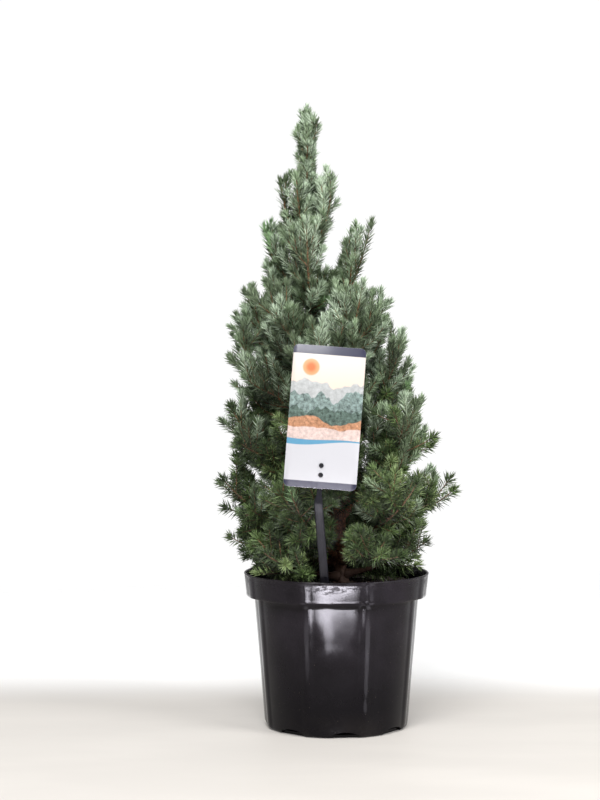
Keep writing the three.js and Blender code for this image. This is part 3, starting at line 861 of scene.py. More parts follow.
def makePaths(name, paths):
    # each path has its points and a size at each, in millimetres, and may have a tilt at each
    curve = bpy.data.curves.new(name, "CURVE")
    curve.dimensions = "3D"
    for points, sizes, *tilts in paths:
        spline = curve.splines.new("POLY")
        spline.points.add(len(points) - 1)
        spline.points.foreach_set("co", [c for p in points for c in (p.x * mm, p.y * mm, p.z * mm, 1)])
        spline.points.foreach_set("radius", [size * mm for size in sizes])
        if tilts:
            spline.points.foreach_set("tilt", tilts[0])
    return newObject(name, curve)


def shootPath(line):
    # a shoot sags a little in its middle, so that its tip turns up
    foot, tip = line
    bend = foot.lerp(tip, 0.5)
    bend.z -= twig["droop"] * (tip - foot).length
    return [foot * (1 - s) ** 2 + bend * 2 * s * (1 - s) + tip * s * s
            for s in evenly(0, 1, twig["points"])]


def makeSweepTree():
    tree, given, out = newGroup("GeometryNodeTree", "sweep twigs",
                                {"Paths": "Object", "Sides": 6, "Bark": "Material"}, ("Geometry",))
    ring = addNode(tree, "GeometryNodeCurvePrimitiveCircle",
                   {"Resolution": given["Sides"], "Radius": 1.0}).outputs[0]
    radius = addNode(tree, "GeometryNodeInputRadius").outputs[0]
    swept = addNode(tree, "GeometryNodeCurveToMesh",
                    {"Curve": shapeOf(tree, given["Paths"]), "Profile Curve": ring, "Scale": radius,
                     "Fill Caps": True})
    return endTree(tree, swept.outputs[0], given["Bark"], out)


def stemAndSizes(plan):
    shares = evenly(plan["bare"], plan["stemEnd"] + stemPath["past"], stemPath["points"])
    foot = bough["tipRadius"] if plan["bare"] else stem["radius"]
    if plan["name"] == "leader":
        foot = trunk["topRadius"]
    return [along(plan, share) for share in shares], evenly(foot, stem["tipRadius"], stemPath["points"])


def twigAndSizes(one):
    foot = twig["mainRadius"] if one["isMain"] else twig["sideRadius"]
    return shootPath(one["line"]), evenly(foot, twig["tipRadius"], twig["points"])


sweepTree = makeSweepTree()
foliageNodes = [f"foliage_{plan['name']}" for plan in plans]
for name, paths, sides, brown in (
        ("stems", map(stemAndSizes, plans), stemPath["sides"], stemBrown),
        ("twigs", (twigAndSizes(one) for plan in plans for one in plan["grown"]), twig["sides"],
         twigBrown)):
    curves = makePaths(name + "_paths", paths)
    piece = growWith(sweepTree, name, {"Paths": curves, "Sides": sides, "Bark": brown})
    removeObject(curves)
    keepPiece(piece, foliageNodes)

# Needles: one node tree stands them round the shoots, and each kind of green is its own piece

needle = {
    "length": 12.8,
    "sideLength": 12.2,
    "shorter": 0.9,  # share of that length on old stems and at the very tip
    "thickness": 1.1,
    "widest": 0.42,  # share of the length where a needle is thickest
    "spacing": 0.45,  # along a shoot, between one needle and the next
    "footLean": {"green_needles": 8, "blue_needles": 42},  # degrees forward from square to the shoot
    "tipLean": {"green_needles": 38, "blue_needles": 62},
    "scatter": 15,
    "lift": 0.12,
    "lengthSpread": 0.25,
    "shootSpread": (0.88, 1.1),  # from the shortest-needled shoot to the longest
    "sizes": (0.8, 0.95, 1, 1, 0.85),  # along a shoot
    "leans": (0, 0.1, 0.3, 0.6, 1),  # 0 is footLean, 1 is tipLean, and below 0 is squarer still
    "oldPart": {True: 3, False: 2},  # how many of a main or other shoot's points have old needles
    "whorls": 3,  # extra rounds of needles that close a shoot's tip
    "whorlFrom": 0.52,  # share of a shoot's last stretch
    "whorlLeans": (1.1, 2),
    "stemPoints": 6,
    "stemLean": 0.3,
    "trunkFrom": 470,  # height on the trunk from which the trunk itself carries needles
    "apex": 10,  # how far below the treetop they end
    "leaderSize": 0.82,
    "leaderLeans": (-1, -1, -1, -1, -0.7, 0.4),
    "topLeans": (-0.8, 0.9),
    "seed": 10,
    "seedShift": 500,
}
# gaps between the needles and the card, its back, the stake, the pot and the peat
clear = {"card": 1, "cardBack": 1.5, "stake": 5, "stakeBack": 3, "stakeTop": -4, "rim": 1, "wall": 3,
         "peat": 1}
# a needle is two three-sided points, base to base
needleFaces = [(0, 3, 2), (1, 2, 3), (0, 4, 3), (1, 3, 4), (0, 2, 4), (1, 4, 2)]


def needleMesh():
    # unit length along z, unit thickness
    points = [(0, 0, 0), (0, 0, 1)]
    points += [(0.5 * math.cos(angle), 0.5 * math.sin(angle), needle["widest"]) for angle in around(3)]
    mesh = bpy.data.meshes.new("needle")
    mesh.from_pydata(points, [], needleFaces)
    return mesh


def makeNeedleTree():
    tree, given, out = newGroup(
        "GeometryNodeTree", "needles on shoots",
        {"Shoots": "Object", "Needle": "Object", "Spacing": 0.0003, "Thickness": 0.001,
         "Foot lean": 0.3, "Tip lean": 1.1, "Scatter": 0.2, "Lift": 0.1, "Length spread": 0.2,
         "Seed": 1, "Colour": "Material"}, ("Geometry",))
    # the curve's tilt says how far forward its needles lean
    kept = tree.nodes.new("GeometryNodeCaptureAttribute")
    kept.capture_items.new("FLOAT", "Share")
    tree.links.new(shapeOf(tree, given["Shoots"]), kept.inputs[0])
    tree.links.new(addNode(tree, "GeometryNodeInputCurveTilt").outputs[0], kept.inputs[1])
    share = kept.outputs[1]
    spots = addNode(tree, "GeometryNodeCurveToPoints",
                    {"Curve": kept.outputs[0], "Length": given["Spacing"]}, mode="LENGTH").outputs
    ahead = spots["Tangent"]

    def random(low, high, shift):
        seed = plus(tree, given["Seed"], shift)
        return addNode(tree, "FunctionNodeRandomValue", {2: low, 3: high, "Seed": seed}).outputs[1]

    index = addNode(tree, "GeometryNodeInputIndex").outputs[0]
    turn = timesPlus(tree, index, goldenAngle, random(-0.5, 0.5, 1))
    outward = turnedAbout(tree, spots["Normal"], ahead, turn)
    lean = timesPlus(tree, share, minus(tree, given["Tip lean"], given["Foot lean"]), given["Foot lean"])
    looser = times(tree, given["Scatter"], plus(tree, share, 0.5))
    lean = timesPlus(tree, random(-1, 1, 2), looser, lean)
    way = plusVector(tree, scaled(tree, outward, maths(tree, "COSINE", lean)),
                     scaled(tree, ahead, maths(tree, "SINE", lean)))
    way = plusVector(tree, way, vectorOf(tree, 0.0, 0.0, given["Lift"]))
    aim = addNode(tree, "FunctionNodeAlignRotationToVector", {"Vector": way}, axis="Z").outputs[0]
    shrink = minus(tree, 1.0, times(tree, random(0, 1, 3), given["Length spread"]))
    length = times(tree, addNode(tree, "GeometryNodeInputRadius").outputs[0], shrink)
    placed = placedOn(tree, spots[0], shapeOf(tree, given["Needle"]), aim,
                      vectorOf(tree, given["Thickness"], given["Thickness"], length))
    toned = addNode(tree, "GeometryNodeStoreNamedAttribute",
                    {"Geometry": placed, "Name": "tone", 3: random(0, 1, 4)},
                    data_type="FLOAT", domain="INSTANCE")
    return endTree(tree, toned.outputs[0], given["Colour"], out)


def dropNeedles(piece, colour):
    # takes out needles that would run into the label, the pot or the peat
    mesh = piece.data
    points = np.empty(len(mesh.vertices) * 3)
    tones = np.empty(len(mesh.vertices))
    mesh.vertices.foreach_get("co", points)
    mesh.attributes["tone"].data.foreach_get("value", tones)
    points = points.reshape(-1, 5, 3) / mm
    inverse = np.array(cardInverse)
    local = points @ inverse[:3, :3].T + inverse[:3, 3]
    onCard = ((np.abs(local[..., 0]) < card["width"] / 2 + clear["card"])
              & (np.abs(local[..., 2]) < card["height"] / 2 + clear["card"])
              & (local[..., 1] < clear["cardBack"]))
    x, y, z = points[..., 0], points[..., 1], points[..., 2]
    behind = behindCard(clear["stakeTop"])
    share = (z - soil["top"]) / (behind.z - soil["top"])
    onStake = ((np.abs(x - mix(stakeFoot.x, behind.x, share)) < clear["stake"]) & (z < behind.z)
               & (y < mix(stakeFoot.y, behind.y, share) + clear["stakeBack"]))
    inWall = ((z < potRim["height"] + clear["rim"])
              & (np.hypot(x, y) > potRim["bodyTopRadius"] - clear["wall"]))
    inPeat = z < soil["top"] + clear["peat"]
    keep = ~(onCard | onStake | inWall | inPeat).any(axis=1)
    if keep.all():
        return
    faces = np.arange(keep.sum() * 5).reshape(-1, 5)[:, needleFaces].reshape(-1, 3)
    piece.data = bpy.data.meshes.new(mesh.name)
    piece.data.from_pydata(points[keep].reshape(-1, 3) * mm, [], faces)
    piece.data.materials.append(colour)
    keptTones = piece.data.attributes.new("tone", "FLOAT", "POINT").data
    keptTones.foreach_set("value", tones.reshape(-1, 5)[keep].ravel())
    bpy.data.meshes.remove(mesh)
    print(piece.name, "loses", int((~keep).sum()), "needles")


def needleMaterial(name, colour, bloom):
    # bloom is how much of the pale waxy film lies on the needles
    material, tree, surface = newMaterial(name)
    mottle = effect(tree, "mottle", size=6.0, grain=1.2, contrast=2.6)
    dark = [c * 0.3 for c in colour]
    pale = [mix(c * 1.7, 0.6, bloom) for c in colour]
    own = addNode(tree, "ShaderNodeAttribute", attribute_name="tone").outputs["Fac"]
    light = timesPlus(tree, mottle["Height"], 0.6, times(tree, own, 0.7))
    shade = mixColour(tree, ranged(tree, light, 0.3, 0.62), dark, colour)
    waxed = mixColour(tree, ranged(tree, light, 0.62, 0.95), shade, pale)
    paint(tree, surface, waxed, mottle["Height"], (0.42, 0.68), (0.3, 0.7))
    bump(tree, surface, mottle["Height"], 0.3, 0.15)
    return material


# Greens of the low and the high part: middling, deep, pale, of young growth, and of the old
# needles at a shoot's foot, each with how much bloom it has; the old needles' deep green is
# partly their own colour and partly painted shade inside the crown
greens = {
    "lower_mid": ((0.086, 0.14, 0.036), 0.045),
    "lower_deep": ((0.045, 0.077, 0.021), 0.02),
    "lower_pale": ((0.175, 0.245, 0.085), 0.09),
    "lower_young": ((0.18, 0.25, 0.085), 0.08),
    "upper_mid": ((0.215, 0.30, 0.165), 0.18),
    "upper_deep": ((0.10, 0.143, 0.07), 0.08),
    "upper_pale": ((0.35, 0.45, 0.305), 0.3),
    "upper_young": ((0.19, 0.32, 0.14), 0.08),
    "lower_old": ((0.045, 0.077, 0.021), 0.02),
    "upper_old": ((0.10, 0.143, 0.07), 0.08),
}
slots = {"lower": "green_needles", "upper": "blue_needles"}
dealing = {
    "blend": (190, 390),  # heights between which the crown turns from green to blue
    # partly the tree's own colour, partly painted light and shade: more pale shoots high up and more deep
    # ones low down under the crown
    "heights": (170, 380, 560),
    "pale": (0.1, 0.27, 0.6),  # share of pale shoots at each of these heights
    "deep": (0.5, 0.44, 0.12),
    "young": 0.015,
    "youngTop": 597,  # the leader has more fresh green from here up
    "youngLeader": 0.2,
    "cornerX": -66,  # one upright shoot high on the viewer's left is all fresh green
    "cornerZ": 488,
    "youngFront": 0.1,  # in the two lowest tiers in front
    "frontY": -50,
    "sunnyX": (-40, 90),  # painted light: low down, more shoots on the viewer's right are pale and fewer deep, as lit from that side
    "sunnyTop": (210, 290),
    "sunnyPale": 0.28,  # so many more shoots are pale there
}


def dealt(shares, height):
    low, middle, high = dealing["heights"]
    if height < middle:
        return mix(shares[0], shares[1], smoothStep(height, low, middle))
    return mix(shares[1], shares[2], smoothStep(height, middle, high))


def pickGreen(plan, tip, draw):
    zone = "upper" if draw() < smoothStep(tip.z, *dealing["blend"]) else "lower"
    young = dealing["young"]
    if plan["name"] == "leader" and tip.z > dealing["youngTop"]:
        young = dealing["youngLeader"]
    elif tip.x < dealing["cornerX"] and tip.z > dealing["cornerZ"]:
        young = 1
    elif plan["tier"] < 2 and tip.y < dealing["frontY"]:
        young = dealing["youngFront"]
    if draw() < young:
        return zone, "young"
    chance = draw()
    # painted light: low on the viewer's right, more shoots are dealt pale and fewer deep
    sunny = smoothStep(tip.x, *dealing["sunnyX"]) * (1 - smoothStep(tip.z, *dealing["sunnyTop"]))
    if chance < dealt(dealing["pale"], tip.z) + dealing["sunnyPale"] * sunny:
        return zone, "pale"
    return zone, "deep" if chance > 1 - dealt(dealing["deep"], tip.z) * (1 - sunny / 2) else "mid"


needlePaths = {name: [] for name in greens}
needleNodes = {name: set() for name in greens}


def dealNeedles(plan, name, path, sizes, leans):
    # a run of needles along a path: their length and how far forward they lean at each point
    needlePaths[name].append((path, sizes, leans))
    needleNodes[name].add(f"foliage_{plan['name']}")


def dealShoot(plan, one, draw):
    # old needles at the foot, in a deep green that is partly painted shade, then the shoot's own green,
    # and a closed tip
    path = shootPath(one["line"])
    zone, kind = pickGreen(plan, path[-1], draw)
    size = needle["length"] if one["isMain"] else needle["sideLength"]
    size *= mix(*needle["shootSpread"], draw())
    if plan["name"] == "leader":
        size *= needle["leaderSize"]
    sizes = [size * share for share in needle["sizes"]]
    leans, split = needle["leans"], needle["oldPart"][one["isMain"]]
    dealNeedles(plan, f"{zone}_old", path[:split], sizes[:split], leans[:split])
    dealNeedles(plan, f"{zone}_{kind}", path[split - 1:], sizes[split - 1:], leans[split - 1:])
    heel = path[-2].lerp(path[-1], needle["whorlFrom"])
    for _ in range(needle["whorls"]):
        dealNeedles(plan, f"{zone}_{kind}", [heel, path[-1]], [size, size * needle["shorter"]],
                    needle["whorlLeans"])
    return f"{zone}_old"


for plan in plans:
    draw = seeded(plan["seed"] + needle["seedShift"])
    for one in plan["grown"]:
        old = dealShoot(plan, one, draw)
    # the stem keeps its old needles between the shoots, in the deep green that is partly painted shade
    count = needle["stemPoints"]
    path = [along(plan, share) for share in evenly(plan["inner"], plan["stemEnd"], count)]
    if plan["name"] == "leader":
        path = [trunkAt(z) for z in evenly(needle["trunkFrom"], plan["end"].z - needle["apex"], count)]
        for name in ("upper_mid", "upper_pale", "upper_mid"):
            dealNeedles(plan, name, path, [needle["length"]] * count, needle["leaderLeans"])
            dealNeedles(plan, name, path[-2:], [needle["length"]] * 2, needle["topLeans"])
    stemNeedle = needle["sideLength"] * needle["shorter"]
    dealNeedles(plan, old, path, [stemNeedle] * count, [needle["stemLean"]] * count)

needleTree = makeNeedleTree()
singleNeedle = newObject("needle", needleMesh())
for number, (name, (green, bloom)) in enumerate(greens.items()):
    slot = slots[name.split("_")[0]]
    paths = makePaths(f"{name}_paths", needlePaths[name])
    colour = needleMaterial(f"needles_{name}", green, bloom)
    piece = growWith(needleTree, f"needles_{name}", {
        "Shoots": paths,
        "Needle": singleNeedle,
        "Spacing": needle["spacing"] * mm,
        "Thickness": needle["thickness"] * mm,
        "Foot lean": math.radians(needle["footLean"][slot]),
        "Tip lean": math.radians(needle["tipLean"][slot]),
        "Scatter": math.radians(needle["scatter"]),
        "Lift": needle["lift"],
        "Length spread": needle["lengthSpread"],
        "Seed": needle["seed"] + number,
        "Colour": colour,
    })
    removeObject(paths)
    dropNeedles(piece, colour)
    keepPiece(piece, sorted(needleNodes[name]))
removeObject(singleNeedle)

# Pot: a thin moulded vessel with a stepped band, shallow ribs and drainage arches

pot = {
    "rimRadius": 94, "bandBottomRadius": 91.5, "bandBottom": 132, "baseRadius": 72.5,
    "wall": 1.8, "floor": 2.6, "foot": 2.5, "lip": 1.0, "segments": 288,
    "hollow": 1.2,  # how far the middle of the underside stands up
    "hollowFrom": (12, 10),  # in from the wall's foot, at the top and the bottom of its step
    "steps": {"foot": 5, "wall": 34, "band": 10, "lip": 6, "inside": 9},
    "soft": 0.6,  # rounding where the band meets the wall
    "ribs": 8, "ribHeight": 0.9, "ribTurn": -68, "ribFrom": 3,
    "archTurn": 29, "archHalfWidth": 15, "archHeight": 5.5, "archDepth": 5, "archSides": 28,
    "panelDepth": 1.7,  # how much flatter the wall is between the two ribs in front
    "panelHalf": 21, "panelTurn": -0.5, "panelFrom": 12,
    "wave": 0.12, "waveSize": 34,  # unevenness of the thin wall
    "sharpFrom": 38,
}


def potProfile():
    # radius and height of each ring, up the outside, over the lip and down the inside
    base, top, step = pot["baseRadius"], potRim["bodyTopRadius"], pot["bandBottom"]
    band, foot, lip, soft = pot["bandBottomRadius"], pot["foot"], pot["lip"], pot["soft"]
    (inner, outer), steps = pot["hollowFrom"], pot["steps"]
    points = [(0, pot["hollow"]), (base - inner, pot["hollow"]), (base - outer, 0), (base - foot, 0)]
    for k in range(1, steps["foot"] + 1):
        angle = math.pi / 2 * k / steps["foot"]
        points.append((base - foot * (1 - math.sin(angle)), foot * (1 - math.cos(angle))))
    for z in evenly(foot, step - 1.5, steps["wall"])[1:]:
        points.append((mix(base, top, z / step), z))
    points += [(top + 0.3, step - soft), (top + 1.2, step), (band - 0.5, step), (band, step + soft)]
    for z in evenly(step + soft, potRim["height"] - lip * 1.6, steps["band"])[1:]:
        share = (z - step) / (potRim["height"] - step)
        points.append((mix(band, pot["rimRadius"], share) - 0.2, z))
    for angle in evenly(0, math.pi, steps["lip"] + 1):
        points.append((pot["rimRadius"] - lip + lip * math.cos(angle),
                       potRim["height"] - lip + lip * math.sin(angle)))
    inBand, inTop, ledge = band - pot["wall"], top - pot["wall"], step + pot["wall"]
    points += [(inBand, ledge + 0.8), (inBand - 1, ledge), (inTop + soft, ledge), (inTop, ledge - soft)]
    for z in evenly(step, pot["floor"] + 1, steps["inside"])[1:]:
        points.append((mix(base, top, z / step) - pot["wall"], z))
    return points + [(base - pot["wall"] - 1, pot["floor"]), (0, pot["floor"])]


def potOut(angle, radius, z):
    # how far a point of the outer wall stands out from its round
    turned = angle - math.radians(pot["ribTurn"] - 90)
    rib = pot["ribHeight"] * max(0, 4 * math.cos(turned * pot["ribs"]) - 3)
    rib *= smoothStep(z, 0, pot["ribFrom"])
    front = math.degrees(math.atan2(math.sin(angle + math.pi / 2), math.cos(angle + math.pi / 2)))
    inPanel = smoothStep(pot["panelHalf"] - abs(front - pot["panelTurn"]), 0, pot["panelHalf"])
    place = Vector((radius * math.cos(angle), radius * math.sin(angle), z)) / pot["waveSize"]
    flat = pot["panelDepth"] * inPanel * smoothStep(z, 0, pot["panelFrom"])
    return rib - flat + pot["wave"] * noise.noise(place)


def potShape():
    profile = potProfile()
    # the outer wall runs from the foot's edge to the lip's top
    outerFrom, outerTo = 3, max(range(len(profile)), key=lambda i: profile[i][1])
    rings = []
    for i, (radius, z) in enumerate(profile):
        ring = []
        for angle in around(pot["segments"] if radius else 1):
            r = radius + (potOut(angle, radius, z) if outerFrom <= i < outerTo else 0)
            ring.append((r * math.cos(angle), r * math.sin(angle), z))
        rings.append(ring)
    return wrap(rings)


def archCutters():
    # one body of eight flattened barrels that cut the drainage arches
    flat = [(pot["archHalfWidth"] * math.cos(angle), pot["archHeight"] * math.sin(angle))
            for angle in around(pot["archSides"])]
    barrels = []
    for i in range(pot["ribs"]):
        turn = math.radians(pot["ribTurn"] - 90 + pot["archTurn"] + 360 * i / pot["ribs"])
        turned = Matrix.Rotation(turn, 3, "Z")
        ends = (pot["baseRadius"] - pot["archDepth"], pot["baseRadius"] + 3 * pot["archDepth"])
        barrels.append(tube([[turned @ Vector((end, x, z)) for x, z in flat] for end in ends]))
    return meshOf("arches", *joined(barrels))


def potMaterial():
    material, tree, surface = newMaterial("potPlastic", {"IOR": 1.44, "Specular IOR Level": 0.17})
    dust = effect(tree, "dust", amount=0.4, low=0.0, high=0.03, speck=1.0)
    scuffs = effect(tree, "scuffs", amount=0.1, length=30.0)
    mottle = effect(tree, "mottle", size=30.0, grain=1.4, contrast=1.4)
    place = objectPlace(tree)
    up = axisOf(tree, place, "Z")
    # painted reflection: the wall's colour lightens towards its top, standing in for the brighter floor
    # it mirrors there
    pale = mixColour(tree, ranged(tree, up, 0.02, 0.125), (0.004, 0.003, 0.005), (0.026, 0.0215, 0.029))
    mottledWithTopLight = mixColour(tree, mottle["Tone"], (0.0016, 0.0011, 0.0022), pale)
    scratched = mixColour(tree, scuffs["Scratches"], mottledWithTopLight, (0.02, 0.019, 0.02))
    filmed = mixColour(tree, times(tree, dust["Film"], 0.2), scratched, (0.15, 0.125, 0.10))
    specked = mixColour(tree, dust["Specks"], filmed, (0.27, 0.22, 0.17))
    tree.links.new(specked, surface["Base Color"])
    polish = ranged(tree, mottle["Tone"], 0.25, 0.75, 0.07, 0.15)
    rough = plus(tree, polish, times(tree, scuffs["Scratches"], 0.25))
    rough = plus(tree, rough, times(tree, dust["Film"], 0.45))
    # dried water marks on the band, densest near the rim
    marks = cloud(tree, drawnOut(tree, place, (1.0, 1.0, 2.2)), 130.0, 8.0, 0.72)
    dull = ranged(tree, minus(tree, marks, ranged(tree, up, 0.122, 0.156, 0.7, 0.46)), 0.0, 0.07)
    dull = times(tree, dull, ranged(tree, up, 0.134, 0.15))
    tree.links.new(timesPlus(tree, dull, 0.24, rough), surface["Roughness"])
    ripple = cloud(tree, place, 34.0, 0.6)
    bump(tree, surface, timesPlus(tree, mottle["Height"], 0.012, ripple), 0.35, 1.6)
    return material


potPiece = newObject("pot_shell", meshOf("pot_shell", *potShape()))
cutters = newObject("arches", archCutters())
cut = potPiece.modifiers.new("arches", "BOOLEAN")
cut.object = cutters
cut.operation = "DIFFERENCE"
cut.solver = "EXACT"
bakeModifiers(potPiece)
removeObject(cutters)
finish(potPiece, potMaterial(), pot["sharpFrom"])
keepPiece(potPiece, ["pot"])

# Peat: a lumpy surface with crumbs and a few white grains

peat = {
    "rings": 84, "sides": 200, "gap": 0.5, "depth": 30,
    "lump": 2.6, "lumpSize": 15, "crumb": 0.9, "crumbSize": 3.4,
    "ledge": (3, 2.8, -3),  # its steps past the band's bottom edge
    "crumbsFrom": 5,  # above that edge
    "crumbs": 2600, "crumbWidth": (0.8, 3.2), "grains": 150, "grainWidth": (1.0, 2.6),
}


def peatRadius(z):
    share = (z - pot["bandBottom"]) / (potRim["height"] - pot["bandBottom"])
    wall = mix(pot["bandBottomRadius"], pot["rimRadius"], share)
    if share < 0:
        wall = mix(pot["baseRadius"], potRim["bodyTopRadius"], z / pot["bandBottom"])
    return wall - pot["wall"] - peat["gap"]


def peatHeight(x, y):
    out = math.hypot(x, y) / peatRadius(soil["top"])
    place = Vector((x, y, 0))
    lumps = peat["lump"] * noise.fractal(place / peat["lumpSize"], 1.0, 2.0, 3)
    crumbs = peat["crumb"] * abs(noise.noise(place / peat["crumbSize"] + Vector((7, 3, 1))))
    mound = soil["mound"] * 0.8 * (1 - smoothStep(out, 0.1, 1))
    return soil["top"] + mound + lumps * (1 - 0.6 * smoothStep(out, 0.85, 1)) + crumbs - 0.5


def peatShape():
    radius = peatRadius(soil["top"])
    rings = [[(0, 0, peatHeight(0, 0))]]
    for i in range(1, peat["rings"] + 1):
        r = radius * i / peat["rings"]
        flat = [(r * math.cos(angle), r * math.sin(angle)) for angle in around(peat["sides"])]
        rings.append([(x, y, peatHeight(x, y)) for x, y in flat])
    inWall = potRim["bodyTopRadius"] - pot["wall"] - peat["gap"]
    above, step, below = (pot["bandBottom"] + ledge for ledge in peat["ledge"])
    low = soil["top"] - peat["depth"]
    for z, r in ((above, peatRadius(above)), (step, inWall), (below, peatRadius(below)),
                 (low, peatRadius(low))):
        r = min(r, radius)
        rings.append([(r * math.cos(angle), r * math.sin(angle), z) for angle in around(peat["sides"])])
    return wrap([*rings, [(0, 0, low)]], fromAbove=True)


def peatMaterial(name, dark, pale):
    material, tree, surface = newMaterial(name)
    mottle = effect(tree, "mottle", size=6.0, grain=0.9, contrast=2.4)
    paint(tree, surface, mixColour(tree, mottle["Tone"], dark, pale), mottle["Tone"], (0.85, 1.0))
    bump(tree, surface, mottle["Height"], 0.8, 0.8)
    return material


def crumbMesh(seed):
    # a lumpy little stone of unit width
    draw = seeded(seed)
    shape = bmesh.new()
    bmesh.ops.create_icosphere(shape, subdivisions=1, radius=0.5)
    for corner in shape.verts:
        corner.co *= mix(0.7, 1.15, draw())
        corner.co.z *= 0.75
    mesh = bpy.data.meshes.new("crumb")
    shape.to_mesh(mesh)
    shape.free()
    return mesh


def makeScatterTree():
    tree, given, out = newGroup(
        "GeometryNodeTree", "crumbs on peat",
        {"Ground": "Object", "Crumb": "Object", "Density": 1000.0, "Least width": 0.001,
         "Most width": 0.003, "Lowest": 0.13, "Seed": 1, "Earth": "Material"}, ("Geometry",))
    up = axisOf(tree, addNode(tree, "GeometryNodeInputNormal").outputs[0], "Z")
    height = axisOf(tree, addNode(tree, "GeometryNodeInputPosition").outputs[0], "Z")
    onTop = times(tree, maths(tree, "GREATER_THAN", up, 0.3),
                  maths(tree, "GREATER_THAN", height, given["Lowest"]))
    spots = addNode(tree, "GeometryNodeDistributePointsOnFaces",
                    {"Mesh": shapeOf(tree, given["Ground"]), "Selection": onTop,
                     "Density": given["Density"], "Seed": given["Seed"]}).outputs[0]
    # most crumbs are small
    chance = addNode(tree, "FunctionNodeRandomValue", {2: 0.0, 3: 1.0, "Seed": 5}).outputs[1]
    span = minus(tree, given["Most width"], given["Least width"])
    width = timesPlus(tree, maths(tree, "POWER", chance, 2.5), span, given["Least width"])
    turn = addNode(tree, "FunctionNodeRandomValue", {0: (0, 0, 0), 1: (6.3, 6.3, 6.3), "Seed": 8},
                   data_type="FLOAT_VECTOR").outputs[0]
    placed = placedOn(tree, spots, shapeOf(tree, given["Crumb"]), turn, width)
    return endTree(tree, placed, given["Earth"], out)


peatPiece = newObject("peat_surface", meshOf("peat_surface", *peatShape()))
finish(peatPiece, peatMaterial("peat", (0.006, 0.0045, 0.004), (0.035, 0.023, 0.016)))
scatterTree = makeScatterTree()
peatArea = math.pi * (peatRadius(soil["top"]) * mm) ** 2
for name, count, widths, earth in (
        ("peat_crumbs", peat["crumbs"], peat["crumbWidth"],
         peatMaterial("peatCrumbs", (0.010, 0.007, 0.005), (0.075, 0.045, 0.028))),
        ("white_grains", peat["grains"], peat["grainWidth"],
         peatMaterial("whiteGrains", (0.42, 0.40, 0.37), (0.80, 0.79, 0.76)))):
    crumb = newObject("crumb", crumbMesh(count))
    piece = growWith(scatterTree, name, {
        "Ground": peatPiece,
        "Crumb": crumb,
        "Density": count / peatArea,
        "Least width": widths[0] * mm,
        "Most width": widths[1] * mm,
        "Lowest": (pot["bandBottom"] + peat["crumbsFrom"]) * mm,
        "Seed": count,
        "Earth": earth,
    })
    removeObject(crumb)
    keepPiece(piece, ["soil"])
keepPiece(peatPiece, ["soil"])

# Label: a card on two studs of a thin bent stake

label = {
    "cornerSteps": 8, "cuts": 12, "bevel": 0.18, "sharpFrom": 40,
    "bevelFrom": 1.2,  # radians
    "curl": 1.1, "curlLevel": 0.4,
    "band": 8.5, "bottomBand": 6.5,  # the dark bands along its top and its bottom
    "picture": 45,  # height at which the white field ends and the picture begins
    "edge": 0.003,  # softness of a printed edge
    "white": (0.565, 0.565, 0.60), "navy": (0.022, 0.024, 0.055), "blue": (0.10, 0.30, 0.46),
    "sun": (0.26, 0.845),
}
strip = {
    "aside": 2,  # how far its buried tip stands from the foot
    "knots": (-15, -4),  # where it bends and narrows, from the card's lower edge
    "past": 5,  # its end above the upper stud
    "widths": (0.3, 1, 1, stake["neckShare"], stake["neckShare"]),
    "stations": 10, "soft": 0.35, "sharpFrom": 50,
    "groove": (0.45, 0.45, 0.1),  # half its width as a share, its depth, and that of its edges
}
stud = {
    "sides": 24, "pin": 0.9, "gap": 0.3,
    # share of the head's radius, and how far it stands out there
    "dome": ((0.97, 0), (1, 0.3), (0.9, 0.75), (0.6, 1.02), (0.2, 1.1)),
}
# hills from far to near: their level, how far they swing, the size and place of their waves, how
# mottled they are, and their colour
hills = (
    (0.735, 0.42, 2.4, 1.0, 0.2, (0.42, 0.43, 0.43)),
    (0.655, 0.55, 2.7, 5.0, 0.75, (0.18, 0.24, 0.225)),
    (0.545, 0.35, 3.1, 9.0, 0.9, (0.08, 0.12, 0.10)),
    (0.475, 0.2, 2.2, 14.0, 0.5, (0.44, 0.22, 0.12)),
    (0.425, 0.16, 1.9, 21.0, 0.25, (0.64, 0.50, 0.46)),
)


def cardOutline():
    halfWidth = card["width"] / 2 - card["corner"]
    halfHeight = card["height"] / 2 - card["corner"]
    points = []
    for i, (sx, sz) in enumerate(((1, -1), (1, 1), (-1, 1), (-1, -1))):
        for k in range(label["cornerSteps"] + 1):
            angle = math.pi / 2 * (i - 1 + k / label["cornerSteps"])
            points.append((sx * halfWidth + card["corner"] * math.cos(angle),
                           sz * halfHeight + card["corner"] * math.sin(angle)))
    return points


def makeCard():
    # the plate is cut across so that it can curl a little round its upright axis
    shape = bmesh.new()
    shape.faces.new([shape.verts.new((x, 0, z)) for x, z in cardOutline()])
    for x in evenly(-card["width"] / 2, card["width"] / 2, label["cuts"] + 1)[1:-1]:
        parts = shape.verts[:] + shape.edges[:] + shape.faces[:]
        bmesh.ops.bisect_plane(shape, geom=parts, plane_co=(x, 0, 0), plane_no=(1, 0, 0))
    back = bmesh.ops.extrude_face_region(shape, geom=shape.faces[:])["geom"]
    corners = [part for part in back if isinstance(part, bmesh.types.BMVert)]
    bmesh.ops.translate(shape, verts=corners, vec=(0, card["thickness"], 0))
    bmesh.ops.recalc_face_normals(shape, faces=shape.faces[:])
    rims = [edge for edge in shape.edges if edge.calc_face_angle(0) > label["bevelFrom"]]
    bmesh.ops.bevel(shape, geom=rims, offset=label["bevel"], segments=2, profile=0.5, affect="EDGES")
    layer = shape.loops.layers.uv.new("print")
    for face in shape.faces:
        for loop in face.loops:
            point = loop.vert.co
            loop[layer].uv = (point.x / card["width"] + 0.5, point.z / card["height"] + 0.5)
    for corner in shape.verts:
        part = corner.co.x / (card["width"] / 2)
        corner.co.y += label["curl"] * (part * part - label["curlLevel"]) - card["thickness"] / 2
        corner.co = cardPlace @ corner.co * mm
    mesh = bpy.data.meshes.new("label_card_sheet")
    shape.to_mesh(mesh)
    shape.free()
    return mesh


